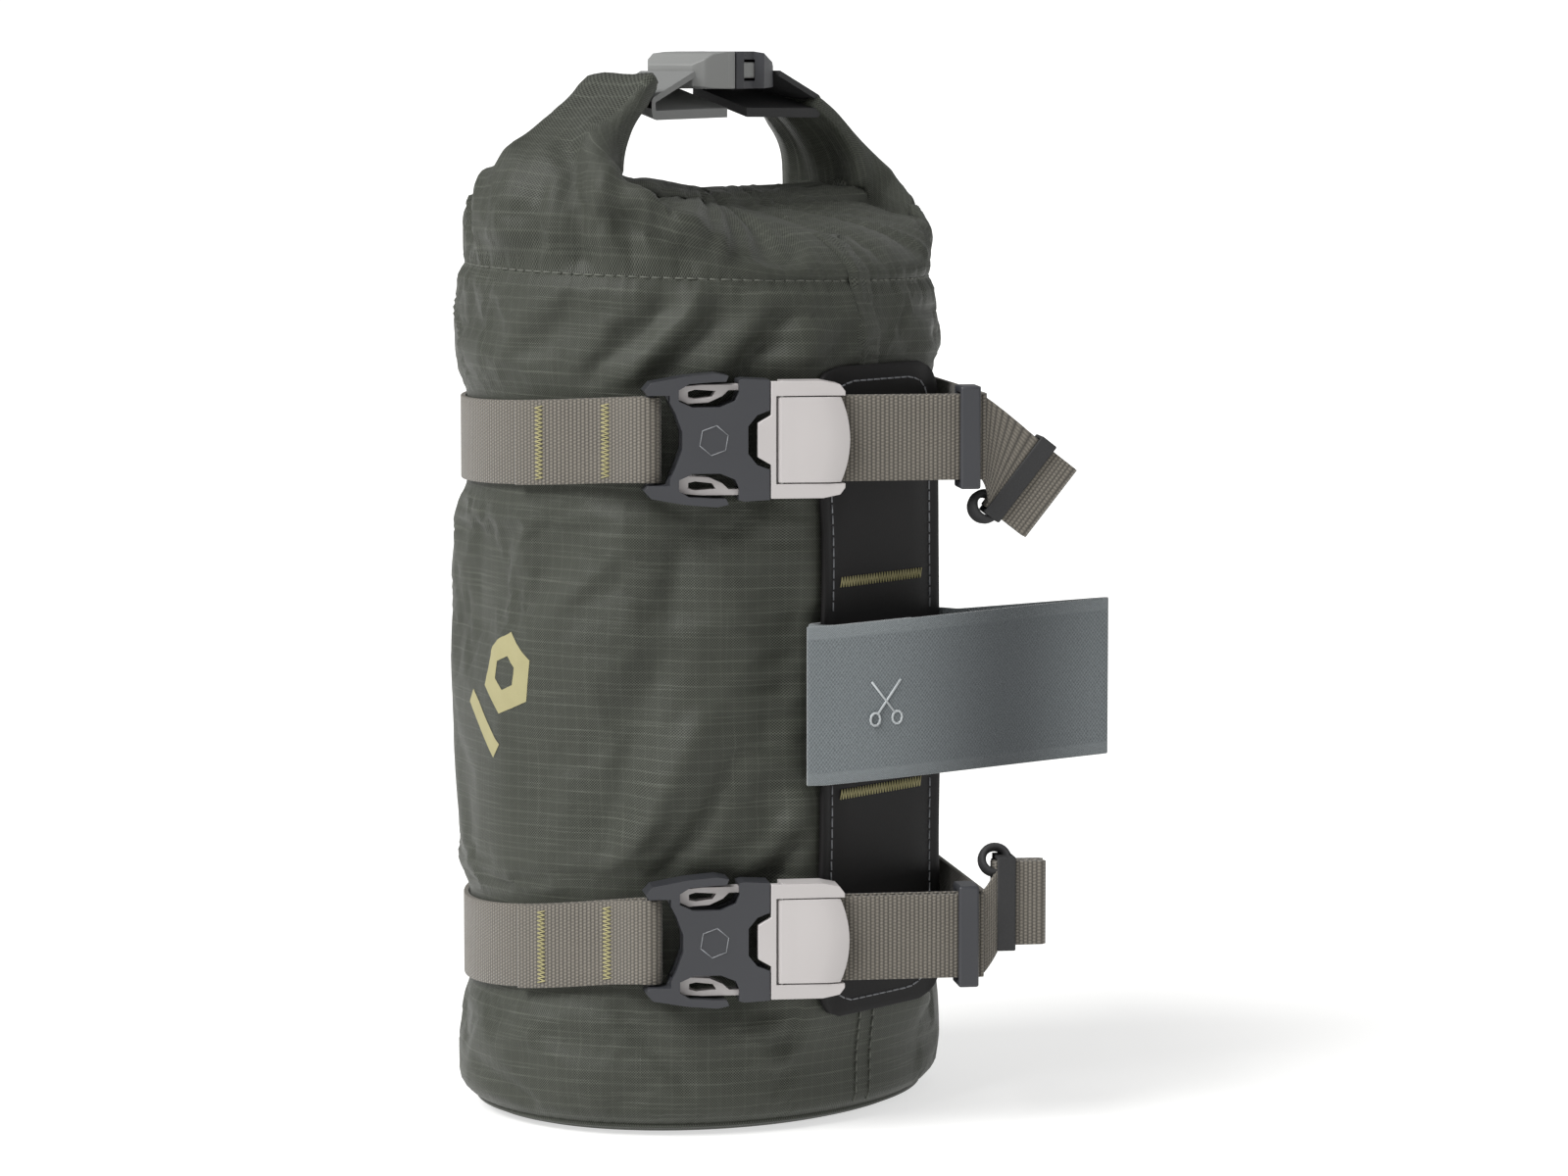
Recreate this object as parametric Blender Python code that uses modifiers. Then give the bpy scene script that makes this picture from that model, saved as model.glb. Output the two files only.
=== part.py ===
"""Roll-top strap-on bag: filled body, roll-top handle, rear panel, two buckled straps and a hook strap.

Metres, +Z up. The origin is at the middle of the base. +X points out of the rear panel, and Y runs along
the roll. The two strap buckles share one local frame: X out of the bag, Y along the strap, Z up.
"""
import math

import bmesh
import bpy
from mathutils import Matrix, Vector

MM = 0.001
GAP = 0.35 * MM

# body
BODY_X = 67 * MM
BODY_Y = 78 * MM
BODY_TOP = 253 * MM
BASE_THICK = 2 * MM
STRAP_LEVELS = {"upper": 207 * MM, "lower": 60 * MM}
CINCH = 2 * MM
COLLAR_TOP = 263.6 * MM
RING_POINTS = 48

# roll-top and its buckle
ROLL_WIDTH = 31 * MM
ROLL_THICK = 9 * MM
ROLL_LOW = 270 * MM
ROLL_CORNER_Y = 79 * MM
ROLL_END_Z = 299 * MM
ROLL_ENDS_Y = (-43 * MM, 55 * MM)
TOP_BUCKLE_Z = 313 * MM
TOP_BUCKLE_THICK = 11.2 * MM
TOP_BUCKLE_HALF = 12.8 * MM
TAB_THICK = 1.8 * MM

# webbing and straps
WEB_HEIGHT = 25 * MM
WEB_THICK = 1.6 * MM
BUCKLE_TURN = math.radians(-42)
INNER_LAYER = 75.2 * MM
OUTER_LAYER = 79.8 * MM
BAR_DEPTH = (INNER_LAYER + OUTER_LAYER) / 2
LOOP_RADIUS = (OUTER_LAYER - INNER_LAYER) / 2
BAR_HALF = 1.0 * MM
FEMALE_BAR = -23.6 * MM
LADDER_BAR = 30 * MM
STRAP_CORNER = 75.4 * MM
DOUBLED_LENGTH = 46 * MM
LEFT_RISE = {"upper": 0.066, "lower": 0.14}
RISE_START = -16 * MM

# strap buckles: depths are distances from the bag's axis
BUCKLE_BACK = 73 * MM
BUCKLE_FRONT = 83 * MM
POCKET = (75.1 * MM, 80.6 * MM)
PRONG_DEPTH = (75.6 * MM, 80.1 * MM)
PRONG_PIVOT = (12.5 * MM, 15.25 * MM)
PIN_DEPTH = 82.3 * MM
PIN_ALONG = 14 * MM
PIN_RADIUS = 0.7 * MM
LEVER_END = 33 * MM
KEEPER_AT = 69.5 * MM
KEEPER_WIDTH = 6 * MM

# rear panel and hook strap
PANEL = (69.8 * MM, 71.6 * MM)
PANEL_HALF_Y = 27.5 * MM
PANEL_Z = (34 * MM, 227 * MM)
HOOK_HEIGHT = 47 * MM
HOOK_THICK = 1.5 * MM
HOOK_Z = 128.5 * MM
HOOK_RISE = 0.12
HOOK_FREE_END = 6.5 * MM

COLOURS = {
    "ripstop": ((0.055, 0.058, 0.046, 1), 0.75),
    "webbing": ((0.13, 0.12, 0.10, 1), 0.85),
    "dark_plastic": ((0.035, 0.038, 0.045, 1), 0.45),
    "light_plastic": ((0.62, 0.60, 0.57, 1), 0.5),
    "grey_plastic": ((0.25, 0.26, 0.26, 1), 0.5),
    "rubber": ((0.018, 0.018, 0.018, 1), 0.7),
    "hook": ((0.11, 0.13, 0.14, 1), 0.9),
    "steel": ((0.5, 0.5, 0.5, 1), 0.35),
}


# ---------------------------------------------------------------- helpers

def clear_scene():
    for item in list(bpy.data.objects):
        bpy.data.objects.remove(item, do_unlink=True)


def make_collection(name):
    collection = bpy.data.collections.new(name)
    bpy.context.scene.collection.children.link(collection)
    return collection


def make_material(name):
    colour, roughness = COLOURS[name]
    material = bpy.data.materials.new(name)
    material.use_nodes = True
    shader = material.node_tree.nodes["Principled BSDF"]
    shader.inputs["Base Color"].default_value = colour
    shader.inputs["Roughness"].default_value = roughness
    shader.inputs["Metallic"].default_value = 1.0 if name == "steel" else 0.0
    return material


def add_part(name, mesh, finish, matrix=Matrix(), parent=None):
    """Put a mesh in the bag's collection as one named piece with its own material."""
    part = bpy.data.objects.new(name, mesh)
    PARTS.objects.link(part)
    part.data.materials.clear()
    part.data.materials.append(make_material(finish))
    part.matrix_world = matrix
    if parent is not None:
        part.parent = parent
        part.matrix_parent_inverse = parent.matrix_world.inverted()
    return part


def add_empty(name, matrix):
    """A joint's empty: its origin is on the joint's axis."""
    empty = bpy.data.objects.new(name, None)
    PARTS.objects.link(empty)
    empty.matrix_world = matrix
    bpy.context.view_layer.update()
    return empty


def facing(direction):
    """Turn a flat outline's own axes so that its thickness runs along X, Y or Z."""
    turn = Matrix(((0, 0, 1), (1, 0, 0), (0, 1, 0))).to_4x4()
    return {"X": turn, "Y": turn @ turn, "Z": Matrix()}[direction]


def outline_mesh(loops, low, high, direction):
    """A flat outline (its first loop) with holes (the others), as thick as low to high along direction."""
    curve = bpy.data.curves.new("outline", "CURVE")
    curve.dimensions = "2D"
    curve.fill_mode = "BOTH"
    curve.extrude = (high - low) / 2
    for loop in loops:
        spline = curve.splines.new("POLY")
        spline.points.add(len(loop) - 1)
        for point, place in zip(spline.points, loop):
            point.co = (place[0], place[1], 0, 1)
        spline.use_cyclic_u = True
    holder = bpy.data.objects.new("outline", curve)
    PARTS.objects.link(holder)
    bpy.context.view_layer.update()
    shape = holder.evaluated_get(bpy.context.evaluated_depsgraph_get())
    mesh = bpy.data.meshes.new_from_object(shape)
    bpy.data.objects.remove(holder)
    bpy.data.curves.remove(curve)
    work = bmesh.new()
    work.from_mesh(mesh)
    bmesh.ops.remove_doubles(work, verts=work.verts, dist=0.01 * MM)
    lift = Matrix.Translation((0, 0, (low + high) / 2))
    bmesh.ops.transform(work, matrix=facing(direction) @ lift, verts=work.verts)
    bmesh.ops.recalc_face_normals(work, faces=work.faces)
    work.to_mesh(mesh)
    work.free()
    return mesh


def block_mesh(corner_a, corner_b):
    """A box between two corners."""
    work = bmesh.new()
    bmesh.ops.create_cube(work, size=1.0)
    size = [abs(b - a) for a, b in zip(corner_a, corner_b)]
    middle = [(a + b) / 2 for a, b in zip(corner_a, corner_b)]
    bmesh.ops.scale(work, vec=size, verts=work.verts)
    bmesh.ops.translate(work, vec=middle, verts=work.verts)
    mesh = bpy.data.meshes.new("block")
    work.to_mesh(mesh)
    work.free()
    return mesh


def rod_mesh(radius, low, high, centre, segments=20):
    """A round rod along Z at centre (x, y), from low to high."""
    work = bmesh.new()
    bmesh.ops.create_cone(work, cap_ends=True, segments=segments, radius1=radius, radius2=radius,
                          depth=high - low)
    bmesh.ops.translate(work, vec=(centre[0], centre[1], (low + high) / 2), verts=work.verts)
    mesh = bpy.data.meshes.new("rod")
    work.to_mesh(mesh)
    work.free()
    return mesh


def carve(mesh, cutters, name):
    """The mesh with every cutter taken away, frozen as a new mesh."""
    base = bpy.data.objects.new(name, mesh)
    CUTTERS.objects.link(base)
    for number, cutter_mesh in enumerate(cutters):
        cutter = bpy.data.objects.new(f"{name}_cutter_{number}", cutter_mesh)
        CUTTERS.objects.link(cutter)
        cutter.hide_render = True
        cutter.display_type = "WIRE"
        boolean = base.modifiers.new(cutter.name, "BOOLEAN")
        boolean.operation = "DIFFERENCE"
        boolean.object = cutter
    bpy.context.view_layer.update()
    shape = base.evaluated_get(bpy.context.evaluated_depsgraph_get())
    result = bpy.data.meshes.new_from_object(shape)
    bpy.data.objects.remove(base)
    work = bmesh.new()
    work.from_mesh(result)
    bmesh.ops.remove_doubles(work, verts=work.verts, dist=0.005 * MM)
    bmesh.ops.dissolve_limit(work, angle_limit=0.005, verts=work.verts, edges=work.edges)
    bmesh.ops.triangulate(work, faces=work.faces)
    work.to_mesh(result)
    work.free()
    return result


def fillet_path(points, radii, step=math.radians(18)):
    """A polyline whose inner corners are rounded by arcs, with one radius for each inner corner."""
    path = [Vector(points[0])]
    for index, radius in enumerate(radii, start=1):
        corner = Vector(points[index])
        back = (Vector(points[index - 1]) - corner).normalized()
        ahead = (Vector(points[index + 1]) - corner).normalized()
        half = back.angle(ahead) / 2
        reach = radius / math.tan(half)
        bisector = (back + ahead).normalized()
        centre = corner + bisector * (radius / math.sin(half))
        start = corner + back * reach - centre
        end = corner + ahead * reach - centre
        sweep = math.pi - 2 * half
        sign = 1 if start.x * end.y - start.y * end.x > 0 else -1
        count = max(2, math.ceil(sweep / step))
        for turn in range(count + 1):
            angle = sign * sweep * turn / count
            spun = Matrix.Rotation(angle, 2) @ start
            path.append(centre + spun)
    path.append(Vector(points[-1]))
    return path


def ribbon_mesh(path, height, thickness, z_at, direction="Z"):
    """A strip of webbing standing on its edge along a flat path, with a real thickness."""
    work = bmesh.new()
    edges = []
    for point in path:
        middle = z_at(point)
        low = work.verts.new((point.x, point.y, middle - height / 2))
        high = work.verts.new((point.x, point.y, middle + height / 2))
        edges.append((low, high))
    for first, second in zip(edges, edges[1:]):
        work.faces.new((first[0], second[0], second[1], first[1]))
    bmesh.ops.transform(work, matrix=facing(direction), verts=work.verts)
    mesh = bpy.data.meshes.new("ribbon")
    work.to_mesh(mesh)
    work.free()
    holder = bpy.data.objects.new("ribbon", mesh)
    PARTS.objects.link(holder)
    wall = holder.modifiers.new("thickness", "SOLIDIFY")
    wall.thickness = thickness
    wall.offset = 0
    wall.use_even_offset = True
    bpy.context.view_layer.update()
    shape = holder.evaluated_get(bpy.context.evaluated_depsgraph_get())
    solid = bpy.data.meshes.new_from_object(shape)
    bpy.data.objects.remove(holder)
    return solid


def lofted_mesh(sections):
    """A closed skin through level rings, each (z, half x, half y, squareness), with flat ends."""
    work = bmesh.new()
    rings = []
    for height, half_x, half_y, power in sections:
        ring = []
        for index in range(RING_POINTS):
            angle = 2 * math.pi * index / RING_POINTS
            across, along = math.cos(angle), math.sin(angle)
            x = math.copysign(abs(across) ** (2 / power), across) * half_x
            y = math.copysign(abs(along) ** (2 / power), along) * half_y
            ring.append(work.verts.new((x, y, height)))
        rings.append(ring)
    for lower, upper in zip(rings, rings[1:]):
        for index in range(RING_POINTS):
            after = (index + 1) % RING_POINTS
            work.faces.new((lower[index], lower[after], upper[after], upper[index]))
    work.faces.new(list(reversed(rings[0])))
    work.faces.new(rings[-1])
    mesh = bpy.data.meshes.new("loft")
    work.to_mesh(mesh)
    work.free()
    mesh.shade_smooth()
    mesh.set_sharp_from_angle(angle=math.radians(40))
    return mesh


def mirrored(points):
    """An outline's upper half and its mirror image below, as one closed loop."""
    lower = [(x, -y) for x, y in reversed(points)]
    return points + lower


def scaled(points):
    return [(x * MM, y * MM) for x, y in points]


# ---------------------------------------------------------------- body

def cinched(height):
    """How far the straps pull the fabric in at this height."""
    pull = 0
    for level in STRAP_LEVELS.values():
        reach = (height - level + 4 * MM) / (27 * MM)
        pull = max(pull, CINCH * math.exp(-reach ** 8))
    return pull


def build_body():
    base_outline = [(math.cos(turn) * 61 * MM, math.sin(turn) * 72 * MM)
                    for turn in [2 * math.pi * step / RING_POINTS for step in range(RING_POINTS)]]
    add_part("base_panel", outline_mesh([base_outline], 0, BASE_THICK, "Z"), "ripstop")
    bottom = BASE_THICK + GAP
    sections = [(bottom, 60 * MM, 71 * MM, 2), (bottom + 2 * MM, 63.5 * MM, 74.5 * MM, 2),
                (bottom + 6 * MM, 65.8 * MM, 76.8 * MM, 2)]
    levels = [16 * MM, 120 * MM, 150 * MM, 243 * MM]
    for level in STRAP_LEVELS.values():
        levels += [level + step * MM for step in (-34, -28, -22, -4, 14, 20, 25, 34)]
    for height in sorted(levels):
        pull = cinched(height)
        sections.append((height, BODY_X - pull, BODY_Y - pull, 2))
    sections.append((BODY_TOP - GAP, BODY_X - 2 * MM, BODY_Y - 2 * MM, 2))
    add_part("body_shell", lofted_mesh(sections), "ripstop")


def build_collar():
    sections = [(BODY_TOP, BODY_X - 2 * MM, BODY_Y - 2 * MM, 2),
                (BODY_TOP + 3 * MM, BODY_X - 4 * MM, BODY_Y - 1 * MM, 2),
                (BODY_TOP + 6 * MM, 52 * MM, BODY_Y - 2 * MM, 2.3),
                (COLLAR_TOP, 30 * MM, 72 * MM, 3)]
    add_part("collar", lofted_mesh(sections), "ripstop")


# ---------------------------------------------------------------- roll-top

def build_roll_top():
    stiffener = block_mesh((-11 * MM, -55 * MM, COLLAR_TOP + GAP), (11 * MM, 55 * MM, COLLAR_TOP + 1.5 * MM))
    add_part("roll_stiffener", stiffener, "grey_plastic")
    near_end, far_end = ROLL_ENDS_Y
    corners = [(near_end, ROLL_END_Z), (-ROLL_CORNER_Y, ROLL_LOW), (ROLL_CORNER_Y + 2 * MM, ROLL_LOW),
               (far_end, ROLL_END_Z)]
    path = fillet_path(corners, [6 * MM, 6 * MM])
    roll = ribbon_mesh(path, ROLL_WIDTH, ROLL_THICK, lambda point: 0, "X")
    add_part("roll_top", roll, "ripstop")
    under = TOP_BUCKLE_Z - 10.8 * MM
    turns = {"near": (1 * MM, -39 * MM, -13.6 * MM), "far": (10 * MM, 51 * MM, 25.4 * MM)}
    for name, (loose, turn, bar) in turns.items():
        corners = [(loose, under), (turn, under - 0.6 * MM), (bar, TOP_BUCKLE_Z - 1 * MM)]
        path = fillet_path(corners, [1.5 * MM])
        tab = ribbon_mesh(path, TOP_BUCKLE_HALF * 2 - 4 * MM, TAB_THICK, lambda point: 0, "X")
        add_part(f"roll_tab_{name}", tab, "rubber")


def build_top_buckle():
    low = TOP_BUCKLE_Z - TOP_BUCKLE_THICK / 2
    high = TOP_BUCKLE_Z + TOP_BUCKLE_THICK / 2
    half = TOP_BUCKLE_HALF / MM
    female = mirrored([(4, half - 1), (6.5, half), (8, half - 2.6), (14, half - 2.6), (16, half),
                       (22, half - 1), (25, half - 3)])
    solid = turned_flat([female], low, high)
    pocket_low, pocket_high = TOP_BUCKLE_Z - 3.2 * MM, TOP_BUCKLE_Z + 3.2 * MM
    pocket = block_mesh((-10.4 * MM, 3 * MM, pocket_low), (10.4 * MM, 19 * MM, pocket_high))
    add_part("top_buckle_female", carve(solid, [pocket], "top_female"), "dark_plastic")
    plug = mirrored([(-13, half - 3), (-10, half - 0.6), (-1, half), (3.6, half - 1)])
    solid = turned_flat([plug], low, high)
    recess_low, recess_high = TOP_BUCKLE_Z - 4 * MM, TOP_BUCKLE_Z + 4 * MM
    recess = [block_mesh((side * 6.6 * MM, -1.4 * MM, recess_low), (side * 11.0 * MM, 4 * MM, recess_high))
              for side in (1, -1)]
    add_part("top_buckle_male", carve(solid, recess, "top_male"), "grey_plastic")
    prong = [(-1.0, 8.8), (-0.6, 7.8), (0.4, 7.4), (7, 7.2), (9, 6.4), (14, 6.6), (17, 8.6), (16, 10.1),
             (12, 10.1), (8, 9.9), (1, 10.1), (-0.4, 9.9)]
    for name, side in (("right", 1), ("left", -1)):
        spot = Vector((side * 8.8 * MM, 0.8 * MM, TOP_BUCKLE_Z))
        pivot = add_empty(f"top_{name}_squeeze", Matrix.Translation(spot))
        shape = [(x, side * y) for x, y in prong]
        mesh = turned_flat([shape], TOP_BUCKLE_Z - 2.4 * MM, TOP_BUCKLE_Z + 2.4 * MM)
        mesh.transform(pivot.matrix_world.inverted())
        add_part(f"top_prong_{name}", mesh, "grey_plastic", pivot.matrix_world.copy(), pivot)


def turned_flat(loops, low, high):
    """A flat piece drawn as (along Y, across X) in millimetres, with its thickness along Z."""
    swapped = [[(across * MM, along * MM) for along, across in loop] for loop in loops]
    return outline_mesh(swapped, low, high, "Z")


# ---------------------------------------------------------------- straps

def strap_world(depth, along):
    """World x, y of a place given in the strap buckles' frame."""
    return Matrix.Rotation(BUCKLE_TURN, 2) @ Vector((depth, along))


def body_ellipse(angle):
    """The middle line of webbing that hugs the cinched body."""
    stand_off = GAP + WEB_THICK / 2
    half_x, half_y = BODY_X - CINCH + stand_off, BODY_Y - CINCH + stand_off
    return Vector((half_x * math.cos(angle), half_y * math.sin(angle)))


def tangent_angle(place, side):
    """Where a straight run from a place outside touches the body: side 1 is counter-clockwise from it."""
    across, along = body_ellipse(0).x, body_ellipse(math.pi / 2).y
    flat = Vector((place.x / across, place.y / along))
    return math.atan2(flat.y, flat.x) + side * math.acos(1 / flat.length)


def arc_points(centre, radius, start, end, count):
    """Points on an arc in the buckles' frame, given as (depth, along)."""
    points = []
    for index in range(count + 1):
        angle = math.radians(start + (end - start) * index / count)
        depth = centre[0] + radius * math.cos(angle)
        along = centre[1] + radius * math.sin(angle)
        points.append(strap_world(depth, along))
    return points


def strap_path():
    """The webbing's middle line: doubled end, female bar, round the body, corner, ladder bar, outer run."""
    bar = strap_world(INNER_LAYER, FEMALE_BAR)
    leave = tangent_angle(bar, -1)
    inner = [bar]
    for index in range(1, 9):
        inner.append(bar.lerp(body_ellipse(leave), index / 8))
    for index in range(1, 8):
        inner.append(body_ellipse(leave - math.radians(3.2) * index))
    outer = []
    travelled = 0
    for index, point in enumerate(inner):
        if index:
            travelled += (point - inner[index - 1]).length
        if travelled > DOUBLED_LENGTH:
            break
        before = inner[max(index - 1, 0)]
        after = inner[index + 1]
        run = (after - before).normalized()
        blend = max(0, 1 - travelled / (14 * MM))
        smooth = blend * blend * (3 - 2 * blend)
        spread = 2.05 * MM + (OUTER_LAYER - INNER_LAYER - 2.05 * MM) * smooth
        outer.append(point + Vector((run.y, -run.x)).normalized() * -spread)
    over_bar = strap_world(OUTER_LAYER - 0.25 * MM, FEMALE_BAR - 1.8 * MM)
    loop = arc_points((BAR_DEPTH, FEMALE_BAR), LOOP_RADIUS, 0, 180, 8)
    corner = strap_world(INNER_LAYER, STRAP_CORNER)
    meet = tangent_angle(corner, 1)
    sweep = (leave - meet) % (2 * math.pi)
    count = 64
    around = [body_ellipse(leave - sweep * index / count) for index in range(1, count + 1)]
    run_start = strap_world(INNER_LAYER, LADDER_BAR)
    turned = fillet_path([around[-1], corner, run_start], [3 * MM])[1:-1]
    ladder = arc_points((BAR_DEPTH, LADDER_BAR), LOOP_RADIUS, 180, 360, 8)
    end = strap_world(OUTER_LAYER, STRAP_CORNER - 1 * MM)
    return list(reversed(outer[1:])) + [over_bar] + loop + inner[1:9] + around + turned + ladder + [end]


def strap_height(which):
    """The strap's level along its path: it drops towards the side away from the buckle."""
    right = Vector((math.cos(math.radians(40)), math.sin(math.radians(40))))

    def level(point):
        reach = point.dot(right) - RISE_START
        return STRAP_LEVELS[which] + LEFT_RISE[which] * min(reach, 0)
    return level


def build_straps():
    path = strap_path()
    for which in STRAP_LEVELS:
        mesh = ribbon_mesh(path, WEB_HEIGHT, WEB_THICK, strap_height(which))
        add_part(f"{which}_strap", mesh, "webbing")


# ---------------------------------------------------------------- strap buckles

def female_mesh():
    outline = [(-25, 13.1), (-26, 14.5), (-24, 16.8), (-14, 18.6), (-5, 19.4), (-1.5, 18.7), (-2.2, 17),
               (-6, 16.9), (-13, 16.4), (-16, 14.6), (-16, 11.4), (-12, 9.6), (-4, 9.6), (0.4, 11.4),
               (1.6, 14), (1.4, 17.4), (3, 17.8), (10.5, 17.4), (10.5, 8.6), (6.8, 7.2), (4.2, 4)]
    slot = [(-22.8, -12.95), (-19.6, -12.95), (-17, -8), (-15, -2.5), (-15, 2.5), (-17, 8), (-19.6, 12.95),
            (-22.8, 12.95)]
    solid = outline_mesh([scaled(mirrored(outline)), scaled(slot)], BUCKLE_BACK, BUCKLE_FRONT, "X")
    half = 13.1 * MM
    pocket_half = 16.5 * MM
    cutters = [
        block_mesh((POCKET[0], -18.2 * MM, -pocket_half), (POCKET[1], 11 * MM, pocket_half)),
        block_mesh((BUCKLE_BACK - MM, -27 * MM, -half), (BAR_DEPTH - BAR_HALF, -18.6 * MM, half)),
        block_mesh((BAR_DEPTH + BAR_HALF, -27 * MM, -half), (BUCKLE_FRONT + MM, -18.6 * MM, half)),
    ]
    return carve(solid, cutters, "female")


def male_mesh():
    front = 83.8 * MM
    outline = [(32.5, 14), (31, 16), (26, 17), (10.8, 17), (10.8, 7.2), (7, 5)]
    opening = [(12.3, -12.75), (29.1, -12.75), (29.1, 12.75), (12.3, 12.75)]
    solid = outline_mesh([scaled(mirrored(outline)), scaled(opening)], BUCKLE_BACK + 0.5 * MM, front, "X")
    half = 12.75 * MM
    clear = 81 * MM
    cutters = [
        block_mesh((BUCKLE_BACK, 6 * MM, -17.5 * MM), (clear, 13.9 * MM, 17.5 * MM)),
        block_mesh((BUCKLE_BACK, 27 * MM, -half), (BAR_DEPTH - BAR_HALF, 34 * MM, half)),
        block_mesh((BAR_DEPTH + BAR_HALF, 27 * MM, -half), (front + MM, 34 * MM, half)),
        block_mesh((BUCKLE_BACK, 31.2 * MM, -half), (front + MM, 34 * MM, half)),
        rod_mesh(PIN_RADIUS + 0.08 * MM, -18 * MM, 18 * MM, (PIN_DEPTH, PIN_ALONG)),
    ]
    return carve(solid, cutters, "male")


def prong_mesh(side):
    """One spring prong of a plug, in the pivot's own frame."""
    beam = [(13.35, 15.7), (13.35, 14.8), (12.6, 14.35), (-1.2, 14.35), (-3, 12.6), (-7, 10.8), (-13, 10.4),
            (-16.8, 12.2), (-17.4, 14), (-15, 15.6), (-9, 16.1), (12.6, 16.1)]
    slot = [(-5, 14.2), (-6, 12.6), (-11, 12), (-13, 12.4), (-13, 14), (-11, 14.6)]
    loops = [scaled([(x, side * y) for x, y in loop]) for loop in (beam, slot)]
    mesh = outline_mesh(loops, PRONG_DEPTH[0], PRONG_DEPTH[1], "X")
    pivot = Vector((BAR_DEPTH, PRONG_PIVOT[0], side * PRONG_PIVOT[1]))
    mesh.transform(Matrix.Translation(-pivot))
    return mesh, pivot


def lever_mesh():
    """The cam lever in its pin's own frame: a barrel round the pin and a curved plate."""
    low = 81 * MM - PIN_DEPTH
    barrel = 1.3 * MM
    profile = [(barrel * math.cos(math.radians(t)), barrel * math.sin(math.radians(t)))
               for t in range(0, -181, -20)]
    reach = LEVER_END - PIN_ALONG
    top = [(1.0 * MM, reach), (1.9 * MM, reach - 4 * MM), (1.6 * MM, reach - 11 * MM), (1.45 * MM, 3 * MM)]
    profile = profile + [(low, 2 * MM), (low, reach - 5 * MM), (low + 0.5 * MM, reach)] + top
    hole_radius = PIN_RADIUS + 0.08 * MM
    hole = [(hole_radius * math.cos(math.radians(t)), hole_radius * math.sin(math.radians(t)))
            for t in range(0, 360, 24)]
    return outline_mesh([profile, hole], -12.4 * MM, 12.4 * MM, "Z")


def build_strap_buckles():
    turn = Matrix.Rotation(BUCKLE_TURN, 4, "Z")
    female = female_mesh()
    male = male_mesh()
    prongs = {"top": prong_mesh(1), "bottom": prong_mesh(-1)}
    lever = lever_mesh()
    pin = rod_mesh(PIN_RADIUS, -16.8 * MM, 16.8 * MM, (PIN_DEPTH, PIN_ALONG), 16)
    frame_loops = [scaled([(-15, 71.9), (15, 71.9), (15, 83.1), (-15, 83.1)]),
                   scaled([(-12.95, 73.9), (12.95, 73.9), (12.95, 81.1), (-12.95, 81.1)])]
    keeper = outline_mesh(frame_loops, KEEPER_AT - KEEPER_WIDTH / 2, KEEPER_AT + KEEPER_WIDTH / 2, "Y")
    for which, height in STRAP_LEVELS.items():
        place = Matrix.Translation((0, 0, height)) @ turn
        add_part(f"{which}_buckle_female", female.copy(), "dark_plastic", place)
        slide = add_empty(f"{which}_release", place)
        add_part(f"{which}_buckle_male", male.copy(), "light_plastic", place, slide)
        add_part(f"{which}_lever_pin", pin.copy(), "steel", place, slide)
        for name, (mesh, pivot) in prongs.items():
            spot = place @ Matrix.Translation(pivot)
            add_part(f"{which}_prong_{name}", mesh.copy(), "light_plastic", spot, slide)
        spot = place @ Matrix.Translation((PIN_DEPTH, PIN_ALONG, 0))
        add_part(f"{which}_cam_lever", lever.copy(), "light_plastic", spot, slide)
        add_part(f"{which}_keeper", keeper.copy(), "rubber", place)


def build_tails():
    """Folded webbing past each keeper, in its elastic band."""
    settings = {"upper": (Vector((74, 88, -15)), -38), "lower": (Vector((75, 85, 9)), 0)}
    for which, (spot, tilt) in settings.items():
        place = Matrix.Translation((0, 0, STRAP_LEVELS[which])) @ Matrix.Rotation(BUCKLE_TURN, 4, "Z")
        place = place @ Matrix.Translation(spot * MM) @ Matrix.Rotation(math.radians(tilt), 4, "X")
        bundle = block_mesh((-3.6 * MM, -7.6 * MM, -12.5 * MM), (3.6 * MM, 8 * MM, 12.5 * MM))
        add_part(f"{which}_tail_bundle", bundle, "webbing", place)
        loops = [scaled([(-14, -5), (14, -5), (14, 5), (-14, 5)]),
                 scaled([(-12.9, -4), (12.9, -4), (12.9, 4), (-12.9, 4)])]
        band = outline_mesh(loops, -6.5 * MM, -1 * MM, "Y")
        add_part(f"{which}_tail_band", band, "rubber", place)


# ---------------------------------------------------------------- rear panel and hook strap

def build_back_panel():
    half, low, high = PANEL_HALF_Y, PANEL_Z[0], PANEL_Z[1]
    corners = [(-half, low + 9 * MM), (-half + 9 * MM, low), (half - 9 * MM, low), (half, low + 9 * MM),
               (half, high - 9 * MM), (half - 9 * MM, high), (-half + 9 * MM, high), (-half, high - 9 * MM)]
    add_part("back_panel", outline_mesh([corners], PANEL[0], PANEL[1], "X"), "rubber")


def build_hook_strap():
    behind = PANEL[0] - 1.35 * MM
    free_end = Vector((76.0, -30.4)) * MM
    tip = Vector((122, 45)) * MM
    run = (tip - free_end).normalized()
    side = Vector((run.y, -run.x))
    fold = tip - side * 3.2 * MM
    under = free_end - side * 2.0 * MM + run * 1 * MM
    points = [free_end - run * HOOK_FREE_END, tip, fold, Vector((75.5, 31.0)) * MM,
              Vector((behind, 31.0 * MM)), Vector((behind, -31.4 * MM)), under, under + run * 26 * MM]
    radii = [1.55 * MM, 1.55 * MM, 4 * MM, 2.2 * MM, 2 * MM, 1.2 * MM]
    path = fillet_path(points, radii)
    mesh = ribbon_mesh(path, HOOK_HEIGHT, HOOK_THICK,
                       lambda point: HOOK_Z + HOOK_RISE * max(0, point.x - 76 * MM))
    add_part("hook_strap", mesh, "hook")


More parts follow.
